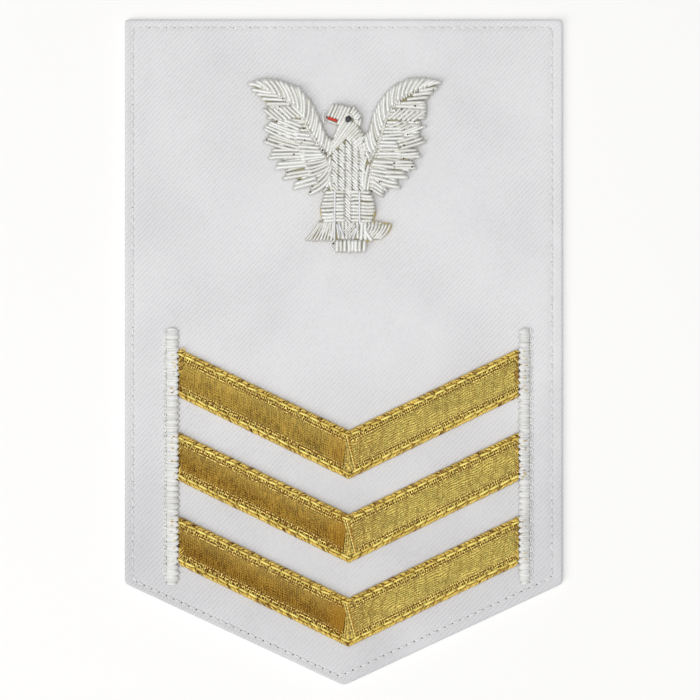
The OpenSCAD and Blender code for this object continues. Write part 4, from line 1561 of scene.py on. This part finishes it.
# %% Hollow ends and the eye
HOLLOW_R = 0.2
HOLLOW_LIFT = 0.98
HOLLOWS = (
    (-68, 45.5), (-71, 31), (-81, 13), (-54, -2), (-60, -20), (-49, -27.5), (-31, -28), (-35, -34.5),
    (-37.5, -39.5), (-20.5, -35.5), (-65, 53.5), (-44, 24), (-46, 10), (-43, 12.5), (67, 46.3),
    (48, 42), (53.5, 43), (66.5, 30.5), (52, 30.5), (59.5, 17.5), (56, 7), (55.5, -6), (46, -11),
    (64, -14.5), (31.5, -29.5), (23.5, -38.5), (22, -0.5), (17.5, 0.5), (15.5, 10.5), (-14.5, -91),
    (85, 63), (-25, 2), (-22, -1), (-21, 35.1), (-10.6, 31.9))
EYE_AT = (0.2, 33.2)
EYE_R = 0.74
EYE_TURN = 0.35
EYE_SIDES = 6
EYE_RINGS = ((1.02, -0.15), (1.02, 0.5), (0.85, 0.62), (0.5, 0.65))

hollows = Bundle()
for point in HOLLOWS:
    dimple(hollows, spot(point), felt_top + HOLLOW_LIFT, HOLLOW_R * chance.uniform(0.7, 1.3))
# Painted shade: the dark inside of a hollow end
HOLLOW = Finish("hollow_purl", Roughness=1.0)
HOLLOW.feed(Base_Color=(0.055, 0.05, 0.03))
add_bundle("hollow_purl_ends", hollows, HOLLOW)

EYE = Finish("eye_bead", Roughness=0.3, Specular_IOR_Level=0.25)
EYE.feed(Base_Color=(0.012, 0.014, 0.022))
eye_base = extent("eye")[0][2]
turn = EYE_TURN + np.arange(EYE_SIDES) * math.tau / EYE_SIDES
rings = []
for share, level in EYE_RINGS:
    plan = spot(EYE_AT) + share * EYE_R * np.stack([np.cos(turn), np.sin(turn)], 1)
    rings.append(np.c_[plan, np.full(EYE_SIDES, eye_base + level)])
bead = Bundle()
bead.add_tube(np.array(rings), 0.5)
add_piece("eye_bead", np.concatenate(bead.points), bead.faces, EYE, ["eye"], smooth=False)
print("eye bead:", len(bead.faces), "faces")

# %% [markdown]
# The last cell gathers the box of the solids and the box of the finished badge, prints the size
# of the finished badge and lays the floor. The floor comes after the boxes are measured, and it
# lies a hair below the hem so that the two don't share a surface.

# %% Close the script
visual_low, visual_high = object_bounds()
boxes = [list(map(float, corner)) for corner in (cad_low, cad_high, visual_low, visual_high)]
print("size of the badge in mm:", [round((b - a) / MM, 1) for a, b in zip(*boxes[2:])])
floor = bpy.data.objects.new("floor", bpy.data.meshes.new("floor"))
half = FLOOR_SIZE / 2 * MM
floor.data.from_pydata([(-half, -half, 0), (half, -half, 0), (half, half, 0), (-half, half, 0)],
                       [], [(0, 1, 2, 3)])
floor.location.z = -FLOOR_DROP * MM
bpy.context.scene.collection.objects.link(floor)
PAPER = Finish("pale_floor", Roughness=0.9)
PAPER.feed(Base_Color=(0.93, 0.925, 0.915), Specular_IOR_Level=0.1)
floor.data.materials.append(PAPER.material)
